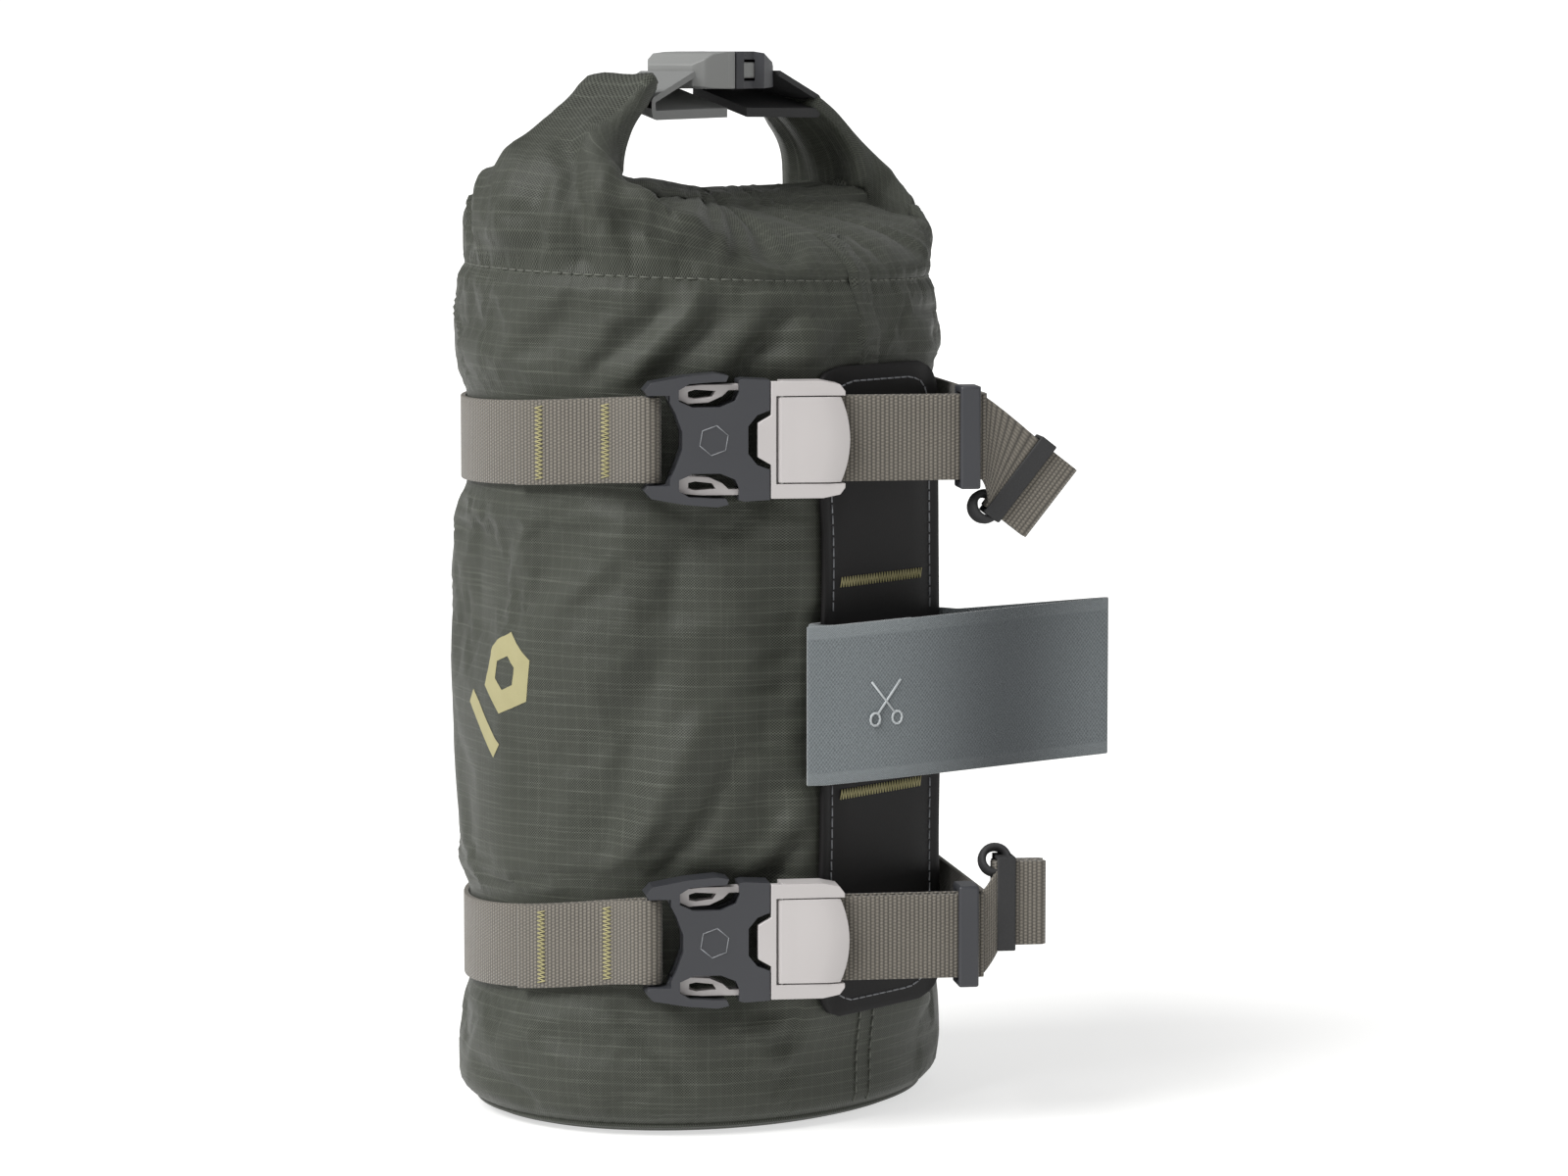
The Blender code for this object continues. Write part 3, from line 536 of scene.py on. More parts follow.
def creased(point, normal, angle):
    """Folds laid in before the cloth settles: slack sides, slanted under the seam, sharp in the collar."""
    height = point.z
    above = height - seam_height(point.x, point.y)
    lobes = Vector((math.cos(angle) * 2.0, math.sin(angle) * 2.0, height * 8))
    slack = noise.noise(lobes + Vector((3.1, 0.4, 7.7))) * 1.4 * MM
    slanted = Vector((math.cos(angle) * 3.4 + height * 26, math.sin(angle) * 3.4 - height * 20,
                      height * 14))
    folds = (0.5 - abs(noise.noise(slanted + Vector((9.2, 5.1, 1.3))))) * 2.6 * MM
    under_seam = bell(above + 17 * MM, 15 * MM)
    collar = smooth_step((above - 2 * MM) / (9 * MM))
    radial = Vector((math.cos(angle) * 6.5, math.sin(angle) * 6.5, height * 16))
    sharp = (0.40 - abs(noise.noise(radial + Vector((1.7, 8.3, 4.9))))) * 6.0 * MM
    crumple = (0.3 - abs(noise.noise(radial * 2.3))) * 2.0 * MM
    beside_panel = bell(abs(point.y) - 34 * MM, 8 * MM) if point.x > 0 and above < 0 else 0
    pucker = math.sin(height * 2 * math.pi / (9 * MM) + 3 * noise.noise(Vector((height * 30, 0.3, 0.7))))
    pucker *= beside_panel * 0.9 * MM * (0.3 + abs(noise.noise(Vector((height * 40, point.y * 20, 2.2)))))
    long_folds = 0.0
    if point.x > 0 or point.y < 0:
        for start, end, width, rise in LONG_FOLDS:
            long_folds += ridge_fold(point, Vector(start) * MM, Vector(end) * MM, width * MM) * rise * MM
    seam = 1 - 0.75 * bell(above, 2.0 * MM)
    gathers = 0.5 * MM * math.sin(angle * 96) * bell(abs(above) - 2.5 * MM, 2.2 * MM)
    amount = (slack + folds * (0.2 + 0.8 * under_seam)) * (1 - collar) + (sharp + crumple) * collar * 0.6
    amount = (amount + long_folds) * seam + gathers
    return point + normal * ((amount + pucker) * (1 - held_cloth(point)))


def roll_cap_point(a, b):
    """The roll itself, from the cloth's front edge over its top to the back: a runs along it, b across it."""
    angle = -math.pi / 2 + math.pi * a
    head, rise, side = top_edge(angle)
    inner = Vector((0, 0, 1))
    if rise > 0:
        on_arm = smooth_step(rise * 5)
        inner = Vector((0, -side * 0.61, -0.79)) * on_arm + inner * (1 - on_arm)
        inner = inner.normalized() if inner.length > 0.3 else Vector((0, -side, 0))
    turn = math.pi * b
    bulge = 4.6 * MM * math.sin(turn) ** 0.6 if 0 < b < 1 else 0
    lip = 1.6 * MM * bell(b - 0.86, 0.09) if 0 < b < 1 else 0
    spot = Vector((head.x * math.cos(turn), head.y, head.z)) + inner * bulge
    return spot - Vector((lip * 2, 0, 0)) * (head.x / ARM_HALF)


def build_skin():
    """One closed skin of ripstop for body and collar, with the roll closing it at the top."""
    work = cloth_grid(COLUMNS, WALL_ROWS, wall_point, wall_measure, 0.02 * MM)
    cap = cloth_grid(COLUMNS // 2, 14, roll_cap_point, lambda a, b: (a * 230 * MM, (300 + b * 34) * MM))
    cap_mesh = bpy.data.meshes.new("cap")
    cap.to_mesh(cap_mesh)
    cap.free()
    work.from_mesh(cap_mesh)
    bpy.data.meshes.remove(cap_mesh)
    bmesh.ops.remove_doubles(work, verts=work.verts, dist=0.05 * MM)
    floor_rim = [edge for edge in work.edges if edge.is_boundary and edge.verts[0].co.z < 3 * MM]
    rim = bmesh.ops.extrude_edge_only(work, edges=floor_rim)
    base_ring = [item for item in rim["geom"] if isinstance(item, bmesh.types.BMVert)]
    bmesh.ops.scale(work, vec=(0.96, 0.965, 1), verts=base_ring)
    bmesh.ops.translate(work, vec=(0, 0, -0.7 * MM), verts=base_ring)
    open_rim = [edge for edge in work.edges if edge.is_boundary and edge.verts[0].co.z < 3 * MM]
    bmesh.ops.contextual_create(work, geom=open_rim)
    bmesh.ops.recalc_face_normals(work, faces=work.faces)
    work.normal_update()
    moved = {}
    for vert in work.verts:
        if vert.co.z > 2 * MM:
            angle = math.atan2(vert.co.y / HALF_Y, vert.co.x / HALF_X)
            moved[vert] = creased(vert.co.copy(), vert.normal.copy(), angle)
    for vert, spot in moved.items():
        vert.co = spot
    return new_piece("fabric_skin", work, RIPSTOP)


def settle(piece, slack, pressure, most):
    """Let the loose cloth wrinkle between the places that hold it; no point moves further than most."""
    starts = [vert.co.copy() for vert in piece.data.vertices]
    group = piece.vertex_groups.new(name="held")
    for vert in piece.data.vertices:
        above = vert.co.z - seam_height(vert.co.x, vert.co.y)
        seam = 0.9 * bell(above, 1.6 * MM)
        roll = smooth_step((above - 20 * MM) / (8 * MM))
        group.add([vert.index], max(held_cloth(vert.co), seam, roll), "REPLACE")
    cloth = piece.modifiers.new("cloth", "CLOTH")
    nylon = {"quality": 4, "mass": 0.1, "tension_stiffness": 25, "compression_stiffness": 25,
             "shear_stiffness": 6, "bending_stiffness": 0.12, "tension_damping": 8, "compression_damping": 8,
             "air_damping": 2, "shrink_min": -slack, "shrink_max": -slack, "vertex_group_mass": "held",
             "pin_stiffness": 2, "use_pressure": True, "uniform_pressure_force": pressure}
    for name, value in nylon.items():
        setattr(cloth.settings, name, value)
    cloth.settings.effector_weights.gravity = 0
    cloth.collision_settings.use_collision = False
    cloth.point_cache.frame_start = 1
    cloth.point_cache.frame_end = SETTLE_FRAMES + 2
    scene = bpy.context.scene
    for number in range(1, SETTLE_FRAMES + 1):
        scene.frame_set(number)
    settled = piece.evaluated_get(bpy.context.evaluated_depsgraph_get())
    spots = [vert.co.copy() for vert in settled.to_mesh().vertices]
    settled.to_mesh_clear()
    piece.modifiers.remove(cloth)
    piece.vertex_groups.remove(group)
    scene.frame_set(1)
    for vert, start, spot in zip(piece.data.vertices, starts, spots):
        shift = spot - start
        if shift.length > most:
            shift *= most / shift.length
        vert.co = start + shift


SKIN = build_skin()
settle(SKIN, slack=0.018, pressure=2.5, most=3.5 * MM)
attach(SKIN, "root")
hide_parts("body_shell", "collar", "roll_top", "base_panel")


# ---------------------------------------------------------------- thread, seams and printing

def surface_of(piece):
    """A tree to find the nearest place on a piece's own mesh."""
    work = bmesh.new()
    work.from_mesh(piece.data)
    tree = BVHTree.FromBMesh(work)
    work.free()
    return tree


SKIN_TREE = surface_of(SKIN)
SEAM_THREAD = 0.3 * MM        # the radius of the seams' sewing thread
BACK_SEAM_Y = -3 * MM
TAPE_WIDTH = 9.5 * MM


def on_skin(place, lift=0.0):
    spot, normal, _, _ = SKIN_TREE.find_nearest(place)
    return spot + normal * lift, normal


def rods(name, segments, radius, material, sides=5):
    """Short round lengths of thread between pairs of points, as one piece."""
    work = bmesh.new()
    for start, end in segments:
        run = end - start
        turn = run.to_track_quat("Z", "Y").to_matrix().to_4x4()
        made = bmesh.ops.create_cone(work, cap_ends=True, segments=sides, radius1=radius, radius2=radius,
                                     depth=run.length + radius)
        bmesh.ops.transform(work, matrix=Matrix.Translation((start + end) / 2) @ turn, verts=made["verts"])
    return new_piece(name, work, material)


def stitch_segments(points, length=2.5 * MM, gap=0.9 * MM):
    """Lockstitches along a line of points."""
    spaced = even_path(points, length + gap)[0]
    share = length / (length + gap)
    return [(first, first.lerp(second, share)) for first, second in zip(spaced, spaced[1:])]


def zigzag_segments(origin, run, side, length, width, pitch):
    """A bar-tack: thread going to and fro across a line of the given length."""
    count = round(length / pitch)
    corners = []
    for index in range(count + 1):
        offset = side * (width / 2 if index % 2 else -width / 2)
        corners.append(origin + run * (length * (index / count - 0.5)) + offset)
    return list(zip(corners, corners[1:]))


def finish_piece(piece, body, slot, *nodes):
    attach(piece, body)
    if nodes:
        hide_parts(*nodes)
    return piece


def back_seam_spot(aside, height, lift):
    """A place on the skin near the seam that runs up the back, aside from the seam's middle."""
    back = 16 * MM * smooth_step((height - SEAM_Z) / (22 * MM))
    return on_skin(Vector((HALF_X + 1 * MM - back, BACK_SEAM_Y + aside, height)), lift)[0]


def build_seams():
    around = []
    for index in range(181):
        turn = 2 * math.pi * index / 180
        point = body_point(turn, seam_height(HALF_X * math.cos(turn), HALF_Y * math.sin(turn)))
        around.append(on_skin(point, 0.15 * MM)[0])
    stitches = rods("collar_stitches", stitch_segments(around), SEAM_THREAD, DARK_THREAD)
    finish_piece(stitches, "root", "ripstop")
    for name, aside in (("left", -3.1 * MM), ("right", 3.1 * MM)):
        rise = []
        for index in range(31):
            rise.append(back_seam_spot(aside, PANEL_HIGH.z + (44 * index / 30 - 2) * MM, 0.35 * MM))
        foot = []
        for index in range(13):
            low = Vector((HALF_X, BACK_SEAM_Y + aside, (5 + 30 * index / 12) * MM))
            foot.append(on_skin(low, 0.35 * MM)[0])
        segments = stitch_segments(rise) + stitch_segments(foot)
        stitches = rods(f"back_seam_stitches_{name}", segments, SEAM_THREAD, DARK_THREAD)
        finish_piece(stitches, "root", "ripstop")

    def tape_place(a, b):
        lift = 0.7 * MM * math.sin(math.pi * a) ** 0.5 + 0.1 * MM
        return back_seam_spot((a - 0.5) * TAPE_WIDTH, PANEL_HIGH.z + (46 * b - 3) * MM, lift)
    tape = cloth_grid(8, 34, tape_place, lambda a, b: (a * TAPE_WIDTH, b * 49 * MM))
    finish_piece(new_piece("back_seam_tape", tape, RIPSTOP), "root", "ripstop")

    def binding_place(a, b):
        angle = 2 * math.pi * a
        turn = 2 * math.pi * b
        out = Vector((math.cos(angle), math.sin(angle), 0))
        middle = body_point(angle, 3.2 * MM)
        return middle + out * (0.9 * MM * math.cos(turn)) + Vector((0, 0, 0.9 * MM * math.sin(turn)))
    work = cloth_grid(180, 8, binding_place, lambda a, b: (a * 460 * MM, b * 6 * MM), 0.02 * MM)
    bmesh.ops.recalc_face_normals(work, faces=work.faces)
    finish_piece(new_piece("base_binding", work, RIPSTOP), "root", "ripstop")


def build_mark():
    """A generic printed mark near the near end: a six-sided ring with a short bar under it."""
    centre = Vector((-13 * MM, -78 * MM, 129 * MM))
    across = Vector((math.cos(-0.16), math.sin(-0.16), 0))
    tilt = math.radians(-38)
    right_way = across * math.cos(tilt) + UP * math.sin(tilt)
    up_way = UP * math.cos(tilt) - across * math.sin(tilt)

    def ring_place(a, b):
        angle = 2 * math.pi * a
        edge = math.cos(math.pi / 6) / math.cos((angle % (math.pi / 3)) - math.pi / 6)
        radius = (5.2 + 7.2 * b) * MM * edge
        flat = centre + right_way * radius * math.cos(angle) + up_way * (radius * math.sin(angle) + 9 * MM)
        return on_skin(flat, 0.14 * MM)[0]
    ring = cloth_grid(48, 4, ring_place, lambda a, b: (a * 40 * MM, b * 5 * MM), 0.005 * MM)
    finish_piece(new_piece("printed_hexagon", ring, KHAKI_INK), "root", "ripstop")

    def bar_place(a, b):
        flat = centre + right_way * (a - 0.5) * 24 * MM + up_way * (-11.5 * MM + (b - 0.5) * 5.4 * MM)
        return on_skin(flat, 0.14 * MM)[0]
    bar = cloth_grid(18, 4, bar_place, lambda a, b: (a * 17 * MM, b * 4 * MM))
    finish_piece(new_piece("printed_bar", bar, KHAKI_INK), "root", "ripstop")


# ---------------------------------------------------------------- strap webbing

BODY_FIT = Vector((HALF_X - 0.85 * MM, HALF_Y - 0.85 * MM))
INNER_LAYER = 75.2 * MM
OUTER_LAYER = 79.8 * MM
BAR_DEPTH = (INNER_LAYER + OUTER_LAYER) / 2
LOOP_RADIUS = (OUTER_LAYER - INNER_LAYER) / 2
FEMALE_BAR = -23.6 * MM
LADDER_BAR = 30 * MM
STRAP_CORNER = 75.4 * MM
DOUBLED_LENGTH = 46 * MM
WEB_THICK = 1.5 * MM
WEB_HEIGHT = 24.8 * MM
TACK_PITCH = 0.62 * MM
TACK_RADIUS = 0.2 * MM


def strap_world(depth, along):
    """World x, y of a place in the strap buckles' frame."""
    return Matrix.Rotation(BUCKLE_TURN, 2) @ Vector((depth, along))


def hugging(angle):
    return Vector((BODY_FIT.x * math.cos(angle), BODY_FIT.y * math.sin(angle)))


def tangent_angle(place, side):
    flat = Vector((place.x / BODY_FIT.x, place.y / BODY_FIT.y))
    return math.atan2(flat.y, flat.x) + side * math.acos(1 / flat.length)


def arc_points(along, start, end):
    points = []
    for index in range(13):
        angle = math.radians(start + (end - start) * index / 12)
        depth = BAR_DEPTH + LOOP_RADIUS * math.cos(angle)
        points.append(strap_world(depth, along + LOOP_RADIUS * math.sin(angle)))
    return points


def strap_route():
    """The webbing's middle line, and its doubled outer layer from the socket's bar outwards."""
    bar = strap_world(INNER_LAYER, FEMALE_BAR)
    leave = tangent_angle(bar, -1)
    inner = [bar.lerp(hugging(leave), index / 8) for index in range(9)]
    inner += [hugging(leave - math.radians(3.2) * index) for index in range(1, 8)]
    outer = []
    travelled = 0
    for index, point in enumerate(inner[:-1]):
        if index:
            travelled += (point - inner[index - 1]).length
        if travelled > DOUBLED_LENGTH:
            break
        run = (inner[index + 1] - inner[max(index - 1, 0)]).normalized()
        spread = 1.95 * MM + (2 * LOOP_RADIUS - 1.95 * MM) * smooth_step(1 - travelled / (14 * MM))
        outer.append(point + Vector((-run.y, run.x)).normalized() * spread)
    over_bar = strap_world(OUTER_LAYER - 0.25 * MM, FEMALE_BAR - 1.8 * MM)
    corner = strap_world(INNER_LAYER, STRAP_CORNER)
    meet = tangent_angle(corner, 1)
    sweep = (leave - meet) % (2 * math.pi)
    around = [hugging(leave - sweep * index / 90) for index in range(1, 91)]
    run_start = strap_world(INNER_LAYER, LADDER_BAR)
    turned = fillet_path([around[-1], corner, run_start], [3 * MM])[1:-1]
    end = strap_world(OUTER_LAYER, STRAP_CORNER - 1 * MM)
    doubled = list(reversed(outer[1:])) + [over_bar]
    rest = arc_points(FEMALE_BAR, 0, 180) + inner[1:9] + around + turned
    rest += arc_points(LADDER_BAR, 180, 360) + [end]
    return doubled, doubled + rest


def build_straps():
    doubled, route = strap_route()
    fine_step = 0.5 * MM
    spaced = even_path(doubled, fine_step)[0]
    for which in STRAPS:
        def level(point, which=which):
            return strap_level(which, point.x, point.y)
        strip = webbing_strip(f"{which}_webbing", route, level, WEB_HEIGHT, WEB_THICK, WEBBING,
                              spacing=1.4 * MM)
        finish_piece(strip, "root", "webbing", f"{which}_strap")
        length = even_path(route, 1 * MM)[1]
        segments = []
        for distance in (14 * MM, 36 * MM):
            index = len(spaced) - 1 - round(distance / fine_step)
            point = spaced[index]
            run = (spaced[index + 1] - spaced[index - 1]).normalized()
            out = Vector((run.y, -run.x, 0))
            if out.dot(Vector((point.x, point.y, 0))) < 0:
                out = -out
            middle = Vector((point.x, point.y, level(point))) + out * (WEB_THICK / 2 + TACK_RADIUS)
            flat_run = Vector((run.x, run.y, 0))
            segments += zigzag_segments(middle, UP, flat_run, 21.5 * MM, 2.5 * MM, TACK_PITCH)
        finish_piece(rods(f"{which}_bar_tacks", segments, TACK_RADIUS, TACK_THREAD), "root", "webbing")


# ---------------------------------------------------------------- buckles

def refined(node, material, width, reshape=None, cuts=(), segments=2):
    """A copy of a CAD piece with its flats joined, its edges rounded and, where asked, its shape curved."""
    work = bmesh.new()
    work.from_mesh(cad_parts[node].data)
    bmesh.ops.remove_doubles(work, verts=work.verts, dist=0.01 * MM)
    bmesh.ops.dissolve_limit(work, angle_limit=math.radians(1), verts=work.verts, edges=work.edges)
    for place, normal in cuts:
        everything = list(work.verts) + list(work.edges) + list(work.faces)
        bmesh.ops.bisect_plane(work, geom=everything, plane_co=place, plane_no=normal, dist=0.001 * MM)
    if reshape:
        for vert in work.verts:
            vert.co = reshape(vert.co.copy())
    piece = new_piece(f"{node}_moulding", work, material, smooth=False)
    soften(piece, width, segments, 28)
    piece.data.shade_smooth()
    piece.data.set_sharp_from_angle(angle=math.radians(35))
    return piece


def mould(node, material, width, body, slot, **shaping):
    """The refined copy of a CAD piece, riding on its body in that piece's place."""
    finish_piece(refined(node, material, width, **shaping), body, slot, node)


def buckle_matrix(which):
    return Matrix.Translation((0, 0, LEVELS[which])) @ Matrix.Rotation(BUCKLE_TURN, 4, "Z")


def recoat(node, material):
    """A CAD piece that keeps its own shape, in a better material."""
    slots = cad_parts[node].data.materials
    slots.clear()
    slots.append(material)


def build_strap_buckles():
    for which in STRAPS:
        place = buckle_matrix(which)
        back = place.inverted()
        mould(f"{which}_buckle_female", SLATE_ACETAL, 0.55 * MM, "root", "dark_plastic")
        mould(f"{which}_buckle_male", IVORY_ACETAL, 0.4 * MM, f"{which}_plug", "light_plastic")
        for end in ("top", "bottom"):
            mould(f"{which}_prong_{end}", IVORY_ACETAL, 0.4 * MM, f"{which}_plug_prong_{end}",
                  "light_plastic")

        def bow(point, place=place, back=back):
            local = back @ point
            share = local.z / (12.4 * MM)
            if local.y > 20 * MM:
                local.y += (0.9 - 2.6 * share * share) * MM
            local.x += 0.5 * MM * (1 - share * share) * smooth_step((local.y - 16 * MM) / (8 * MM))
            return place @ local
        cuts = [(place @ Vector((0, 0, offset * MM)), Vector((0, 0, 1))) for offset in range(-10, 11, 2)]
        turn = Matrix.Rotation(BUCKLE_TURN, 3, "Z") @ Vector((0, 1, 0))
        cuts += [(place @ Vector((0, offset * MM, 0)), turn) for offset in (17, 20, 23, 26, 29)]
        mould(f"{which}_cam_lever", IVORY_ACETAL, 0.3 * MM, f"{which}_lever", "light_plastic",
              reshape=bow, cuts=cuts)
        mould(f"{which}_keeper", SLATE_ACETAL, 0.7 * MM, f"{which}_keeper_ring", "dark_plastic", segments=3)
        recoat(f"{which}_lever_pin", STEEL_WIRE)
        corners = []
        for index in range(7):
            angle = math.radians(60 * index + 20)
            corner = Vector((83.05, -5.8 + 4.4 * math.cos(angle), 4.4 * math.sin(angle))) * MM
            corners.append(place @ corner)
        ring = rods(f"{which}_moulded_hexagon", list(zip(corners, corners[1:])), 0.16 * MM, GREY_THREAD)
        finish_piece(ring, "root", "dark_plastic")


def cuts_along_y(*places):
    """Planes across the roll's length, where a moulding gets the edges that let it bend."""
    return [(Vector((0, place * MM, 0)), Vector((0, 1, 0))) for place in places]


def build_top_buckle():
    middle = middle_height("top_prong_left")

    def narrowed(point, sink, flatten, drop, draw_in):
        point.z = middle + (point.z - middle) * (1 - flatten * sink) - drop * MM * sink
        point.x *= 1 - draw_in * sink
        return point

    def tapered(point):
        sink = (point.y - 15 * MM) / (10 * MM)
        return narrowed(point, sink, 0.45, 2.0, 0.12) if sink > 0 else point

    def rounded_end(point):
        sink = (-6 * MM - point.y) / (7 * MM)
        return narrowed(point, sink, 0.42, 1.5, 0.1) if sink > 0 else point
    mould("top_buckle_female", SLATE_ACETAL, 0.9 * MM, "root", "dark_plastic", reshape=tapered,
          cuts=cuts_along_y(16.5, 19, 22), segments=3)
    mould("top_buckle_male", GREY_ACETAL, 1.1 * MM, "root", "grey_plastic", reshape=rounded_end,
          cuts=cuts_along_y(-7, -9, -11), segments=3)
    for side in ("left", "right"):
        mould(f"top_prong_{side}", GREY_ACETAL, 0.4 * MM, f"top_{side}_prong", "grey_plastic")
    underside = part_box("roll_tab_near")[0].z

    def tilted(point):
        if point.z < underside + 2.4 * MM:
            below = 1.0 * MM if point.z < underside + 1.0 * MM else 0
            point.z += 1.8 * MM - below - 0.3 * point.x
        return point
    for end, material in (("near", GREY_TAPE), ("far", BLACK_TAPE)):
        mould(f"roll_tab_{end}", material, 0.8 * MM, "root", "rubber", reshape=tilted,
              cuts=cuts_along_y(-2, -6, 13, 17), segments=3)
    recoat("roll_stiffener", GREY_ACETAL)


# each folded tail's middle in its strap buckle's frame (outwards, along, up), in mm, and its tilt in degrees
TAIL_PLACES = {"upper": (Vector((74, 88, -15)), -38), "lower": (Vector((75, 85, 9)), 0)}


def build_tails():
    """The webbing's end past each keeper, folded back on itself inside an elastic band."""
    layers = 4
    pitch = 2.0 * MM
    first = -(layers - 1) / 2 * pitch
    points = []
    for number in range(layers):
        depth = first + number * pitch
        ends = (-7.0 * MM, 7.6 * MM) if number % 2 == 0 else (7.6 * MM, -7.0 * MM)
        points += [(depth, ends[0]), (depth, ends[1])]
    path = fillet_path(points, [0.98 * MM] * (len(points) - 2))
    length = even_path(path, 1 * MM)[1]
    for which, (spot, tilt) in TAIL_PLACES.items():
        turn = Matrix.Rotation(math.radians(tilt), 4, "X")
        place = buckle_matrix(which) @ Matrix.Translation(spot * MM) @ turn
        fold = webbing_strip(f"{which}_folded_tail", path, lambda point: 0, WEB_HEIGHT, WEB_THICK, WEBBING, 4,
                             1.0 * MM, 0.2 * MM)
        fold.data.transform(place)
        finish_piece(fold, "root", "webbing", f"{which}_tail_bundle")
        mould(f"{which}_tail_band", BLACK_TAPE, 0.4 * MM, "root", "rubber")
        build_lead(which, place)


def build_lead(which, bundle):
    """The webbing between the keeper and the folded tail, and the elastic loop that holds the tail to it."""
    keeper = buckle_matrix(which)
    joined = Vector((3.3, -5.5, 0)) * MM          # where the lead meets the bundle, in the bundle's frame

    def place(a, b):
        rise = (b - 0.5) * WEB_HEIGHT
        start = keeper @ Vector((OUTER_LAYER - 0.2 * MM, 73.3 * MM, rise))
        end = bundle @ (joined + UP * rise)
        belly = keeper @ Vector((OUTER_LAYER + 0.4 * MM, 76 * MM, rise * 0.96)) * 0.5 + (start + end) * 0.25
        return start * (1 - a) ** 2 + belly * 2 * a * (1 - a) + end * a ** 2
    work = cloth_grid(16, 8, place, lambda a, b: (a * 12 * MM, b * WEB_HEIGHT))
    lead = new_piece(f"{which}_tail_lead", work, WEBBING)
    thicken(lead, 1.4 * MM, 0.2 * MM)
    finish_piece(lead, "root", "webbing")
    length = (bundle @ joined - place(0, 0.5)).length
    side = 1 if which == "lower" else -1
    work = bmesh.new()
    profile = bmesh.ops.create_circle(work, segments=10, radius=1.2 * MM)["verts"]
    bmesh.ops.scale(work, vec=(1, 2.6, 1), verts=profile)
    bmesh.ops.rotate(work, cent=(0, 0, 0), matrix=Matrix.Rotation(math.radians(90), 3, "X"), verts=profile)
    bmesh.ops.translate(work, vec=(3.9 * MM, 0, 0), verts=profile)
    bmesh.ops.spin(work, geom=list(work.verts) + list(work.edges), cent=(0, 0, 0), axis=(0, 0, 1),
                   angle=math.radians(360), steps=28, use_merge=True)
    bmesh.ops.remove_doubles(work, verts=work.verts, dist=0.01 * MM)
    bmesh.ops.recalc_face_normals(work, faces=work.faces)
    loop = new_piece(f"{which}_elastic_loop", work, BLACK_TAPE)
    lean = Matrix.Rotation(math.radians(68), 4, "Y")
    loop.data.transform(bundle @ Matrix.Translation((0, -6.5 * MM, side * 12.5 * MM)) @ lean)
    finish_piece(loop, "root", "rubber")


# ---------------------------------------------------------------- rear panel and hook strap

def panel_half(height, inset=0.0):
    """Half the panel's width at this height, with round corners."""
    radius = 9 * MM
    half = PANEL_HIGH.y - inset
    near_end = min(height - PANEL_LOW.z - inset, PANEL_HIGH.z - inset - height)
    if near_end < radius:
        reach = max(0.0, radius - near_end)
        half -= radius - math.sqrt(max(0.0, radius * radius - reach * reach))
    return half


def panel_place(y, height, lift=0.0):
    edge = smooth_step((abs(y) - 15 * MM) / (12 * MM))
    wander = noise.noise(Vector((height * 17, math.copysign(3.3, y), 0.5))) * 2.8 * MM * edge
    lean = noise.noise(Vector((height * 21, math.copysign(8.1, y), 4.2))) * 1.2 * MM * edge
    middle = (PANEL_LOW.x + PANEL_HIGH.x) / 2
    rim = 0.5 * MM * smooth_step((abs(y) - 24.2 * MM) / (1.4 * MM))
    return Vector((middle + lean - 0.5 * MM * edge + rim + lift, y + wander, height))


def build_panel():
    low, high = PANEL_LOW.z, PANEL_HIGH.z

    def place(a, b):
        height = low + (high - low) * b
        return panel_place((a - 0.5) * 2 * panel_half(height), height)
    work = cloth_grid(26, 110, place, lambda a, b: (a * 55 * MM, b * (high - low)), 0.02 * MM)
    panel = new_piece("coated_panel", work, COATED_PANEL)
    thicken(panel, 1.7 * MM, 0.5 * MM)
    finish_piece(panel, "root", "rubber", "back_panel")
    inset = 4.5 * MM
    lift = 0.95 * MM
    outline = []
    steps = 120
    for index in range(steps + 1):
        height = low + inset + (high - low - 2 * inset) * index / steps
        outline.append((panel_half(height, inset), height))
    left = [panel_place(-half, height, lift) for half, height in outline]
    right = [panel_place(half, height, lift) for half, height in reversed(outline)]
    loop = left + right + [left[0]]
    segments = [pair for pair in stitch_segments(loop, 2.3 * MM, 0.9 * MM)
                if not (abs(pair[0].z - TAPE_Z) < 25 * MM and abs(pair[0].y) > 15 * MM)]
    finish_piece(rods("panel_stitches", segments, 0.26 * MM, GREY_THREAD), "root", "rubber")
    tacks = []
    for height in (TAPE_Z + 35 * MM, TAPE_Z - 28 * MM):
        middle = panel_place(0, height, 1.0 * MM)
        tacks += zigzag_segments(middle, Vector((0, 1, 0)), UP, 38 * MM, 2.8 * MM, TACK_PITCH)
    finish_piece(rods("panel_bar_tacks", tacks, TACK_RADIUS, TACK_THREAD), "root", "rubber")


HOOK_Z = 128.5 * MM


def hook_level(point):
    return HOOK_Z + 0.12 * max(0, point.x - 76 * MM)


def hook_bow(share):
    """How far the strap's front layer bows out, from its free end to its turn."""
    return (2.4 * math.sin(math.pi * share) + 1.1 * math.sin(2 * math.pi * share)) * MM


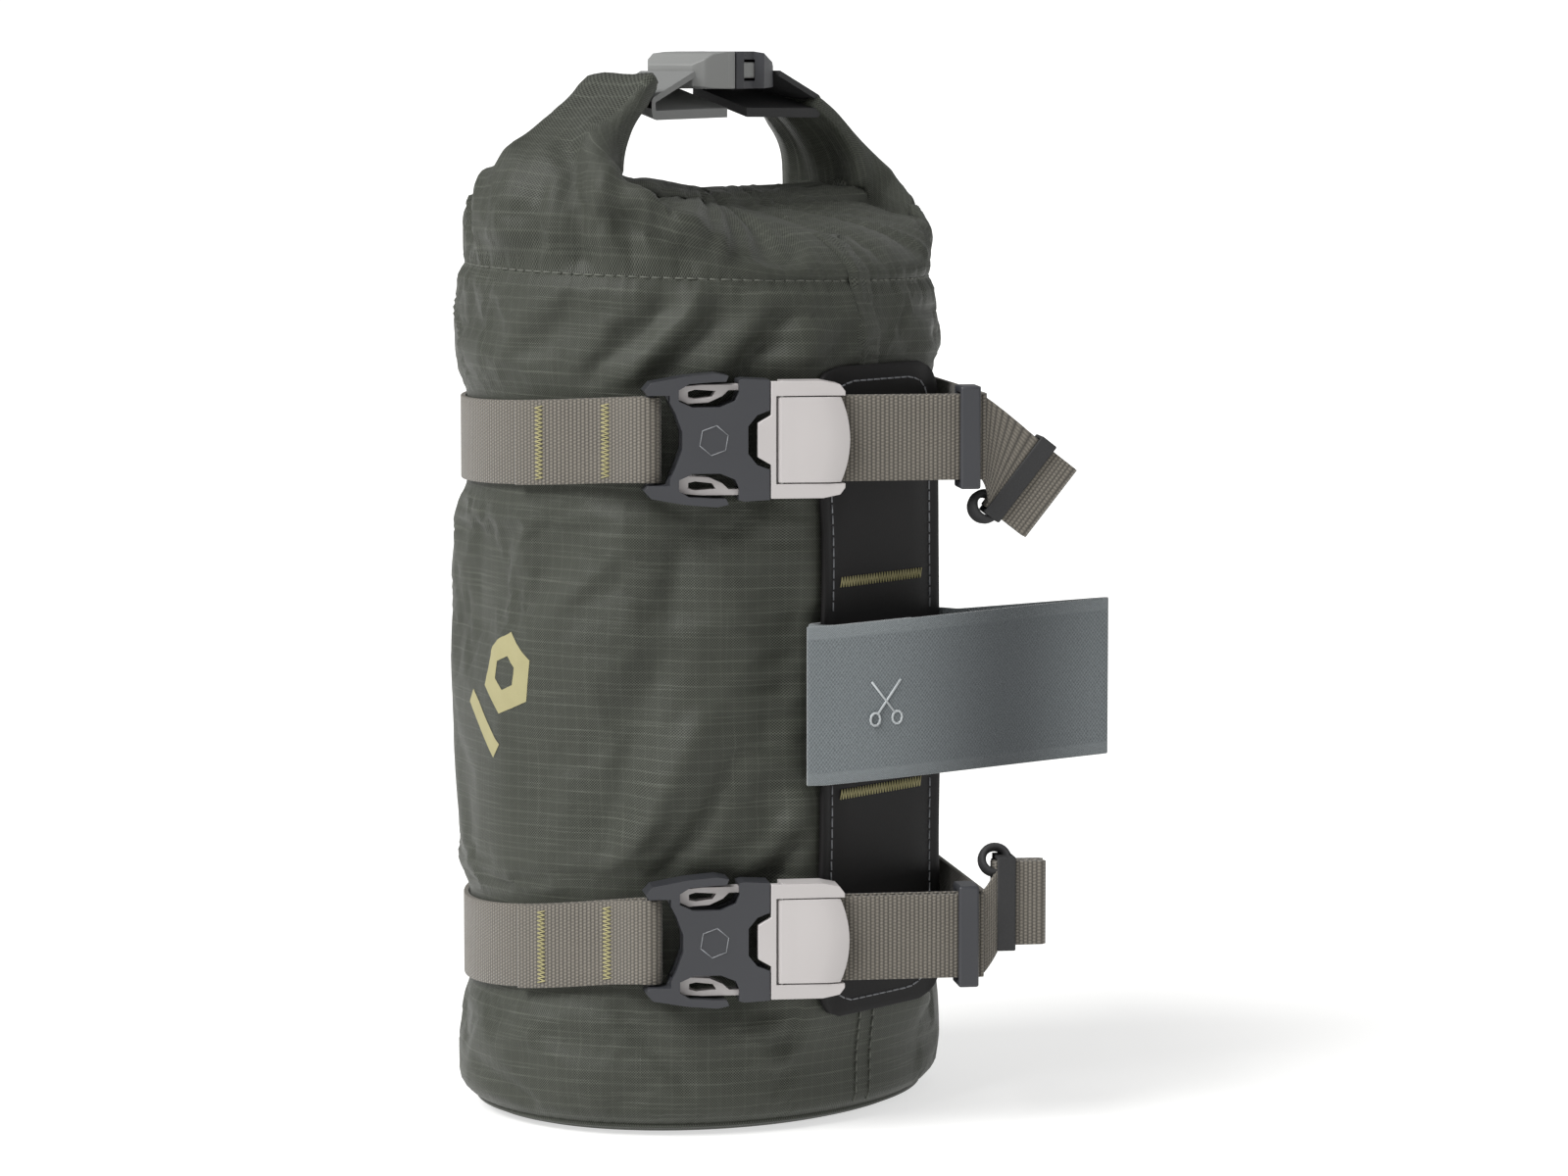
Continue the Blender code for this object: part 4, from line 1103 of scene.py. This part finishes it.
def build_hook_strap():
    behind = PANEL_LOW.x - 1.35 * MM
    free_end = Vector((76.0, -30.4)) * MM
    tip = Vector((122, 45)) * MM
    run = (tip - free_end).normalized()
    side = Vector((run.y, -run.x))
    fold = tip - side * 3.2 * MM
    under = free_end - side * 2.0 * MM + run * 1 * MM
    points = [free_end - run * 6.3 * MM, tip, fold, Vector((75.5, 31.0)) * MM, Vector((behind, 31.0 * MM)),
              Vector((behind, -31.4 * MM)), under, under + run * 26 * MM]
    radii = [1.55 * MM, 1.55 * MM, 4 * MM, 2.2 * MM, 2 * MM, 1.2 * MM]
    path = fillet_path(points, radii)
    front = [points[0].lerp(tip, step / 24) + side * hook_bow(step / 24) for step in range(23)]
    path = front + path[1:]
    strap = webbing_strip("hook_and_loop_strap", path, hook_level, HOOK_HEIGHT, 1.4 * MM, HOOK_TAPE, 12,
                          1.6 * MM, 0.3 * MM)
    finish_piece(strap, "root", "hook_tape", "hook_strap")
    length = even_path(path, 1 * MM)[1]
    out = Vector((side.x, side.y, 0))
    along = Vector((run.x, run.y, 0.06)).normalized()
    spot = free_end + run * 17 * MM + side * (hook_bow(0.25) + 0.1 * MM)
    centre = Vector((spot.x, spot.y, HOOK_Z + 1 * MM)) + out * 0.78 * MM
    segments = []
    for way in (-1, 1):
        tip_point = centre + along * way * 4.4 * MM + UP * 6 * MM
        segments.append((tip_point, centre - along * way * 2.6 * MM - UP * 3.4 * MM))
        ring = []
        for index in range(11):
            angle = 2 * math.pi * index / 10
            ring.append(centre + along * (way * 3.4 + 1.5 * math.cos(angle)) * MM
                        + UP * (-5.0 + 1.9 * math.sin(angle)) * MM)
        segments += list(zip(ring, ring[1:]))
    finish_piece(rods("cut_here_symbol", segments, 0.36 * MM, PALE_INK), "root", "hook_tape")


build_seams()
build_mark()
build_straps()
build_strap_buckles()
build_top_buckle()
build_tails()
build_panel()
build_hook_strap()


# ---------------------------------------------------------------- studio

def build_studio():
    """A pale paper floor under an even white sky, one broad soft key light and a weak rim light."""
    work = bmesh.new()
    bmesh.ops.create_grid(work, x_segments=1, y_segments=1, size=40.0)
    paper = make_plain("pale_paper", "#bdbdbb", "#c1c1bf", 0.9, 2 * MM, 0.01 * MM, 2.0,
                       Emission_Strength=0.62)
    paper.node_tree.nodes["Principled BSDF"].inputs["Emission Color"].default_value = (1, 1, 1, 1)
    new_piece("studio_floor", work, paper, smooth=False)
    world = bpy.data.worlds.new("studio")
    world.use_nodes = True
    tree = world.node_tree
    seen = add(tree, "ShaderNodeLightPath").outputs["Is Camera Ray"]
    strength = maths(tree, "MULTIPLY_ADD", seen, 0.75, 0.35)
    tree.nodes["Background"].inputs[0].default_value = (1, 1, 1, 1)
    tree.links.new(strength, tree.nodes["Background"].inputs[1])
    bpy.context.scene.world = world
    lamps = {"key": ((-0.2, -0.96, 1.05), 3.9, 38), "rim": ((0.9, 0.75, 0.5), 0.15, 40)}
    for name, (towards, power, spread) in lamps.items():
        light = bpy.data.lights.new(name, "SUN")
        light.energy = power
        light.angle = math.radians(spread)
        lamp = bpy.data.objects.new(name, light)
        lamp.rotation_euler = (-Vector(towards)).to_track_quat("-Z", "Y").to_euler()
        bpy.context.scene.collection.objects.link(lamp)


def build_camera():
    """A long lens at the bag's rear corner, a little above it."""
    turn, lift, distance = VIEW_TURN, math.radians(6), 1.6
    towards = Vector((math.sin(turn) * math.cos(lift), -math.cos(turn) * math.cos(lift), math.sin(lift)))
    aim = Vector((RIGHT.x * 26 * MM, RIGHT.y * 26 * MM, 155.5 * MM))
    lens = bpy.data.cameras.new("camera")
    lens.lens = 120.2
    lens.sensor_width = 36
    camera = bpy.data.objects.new("camera", lens)
    camera.location = aim + towards * distance
    camera.rotation_euler = (-towards).to_track_quat("-Z", "Y").to_euler()
    bpy.context.scene.collection.objects.link(camera)
    bpy.context.scene.camera = camera
    bpy.context.scene.view_settings.view_transform = "Standard"


build_studio()
build_camera()
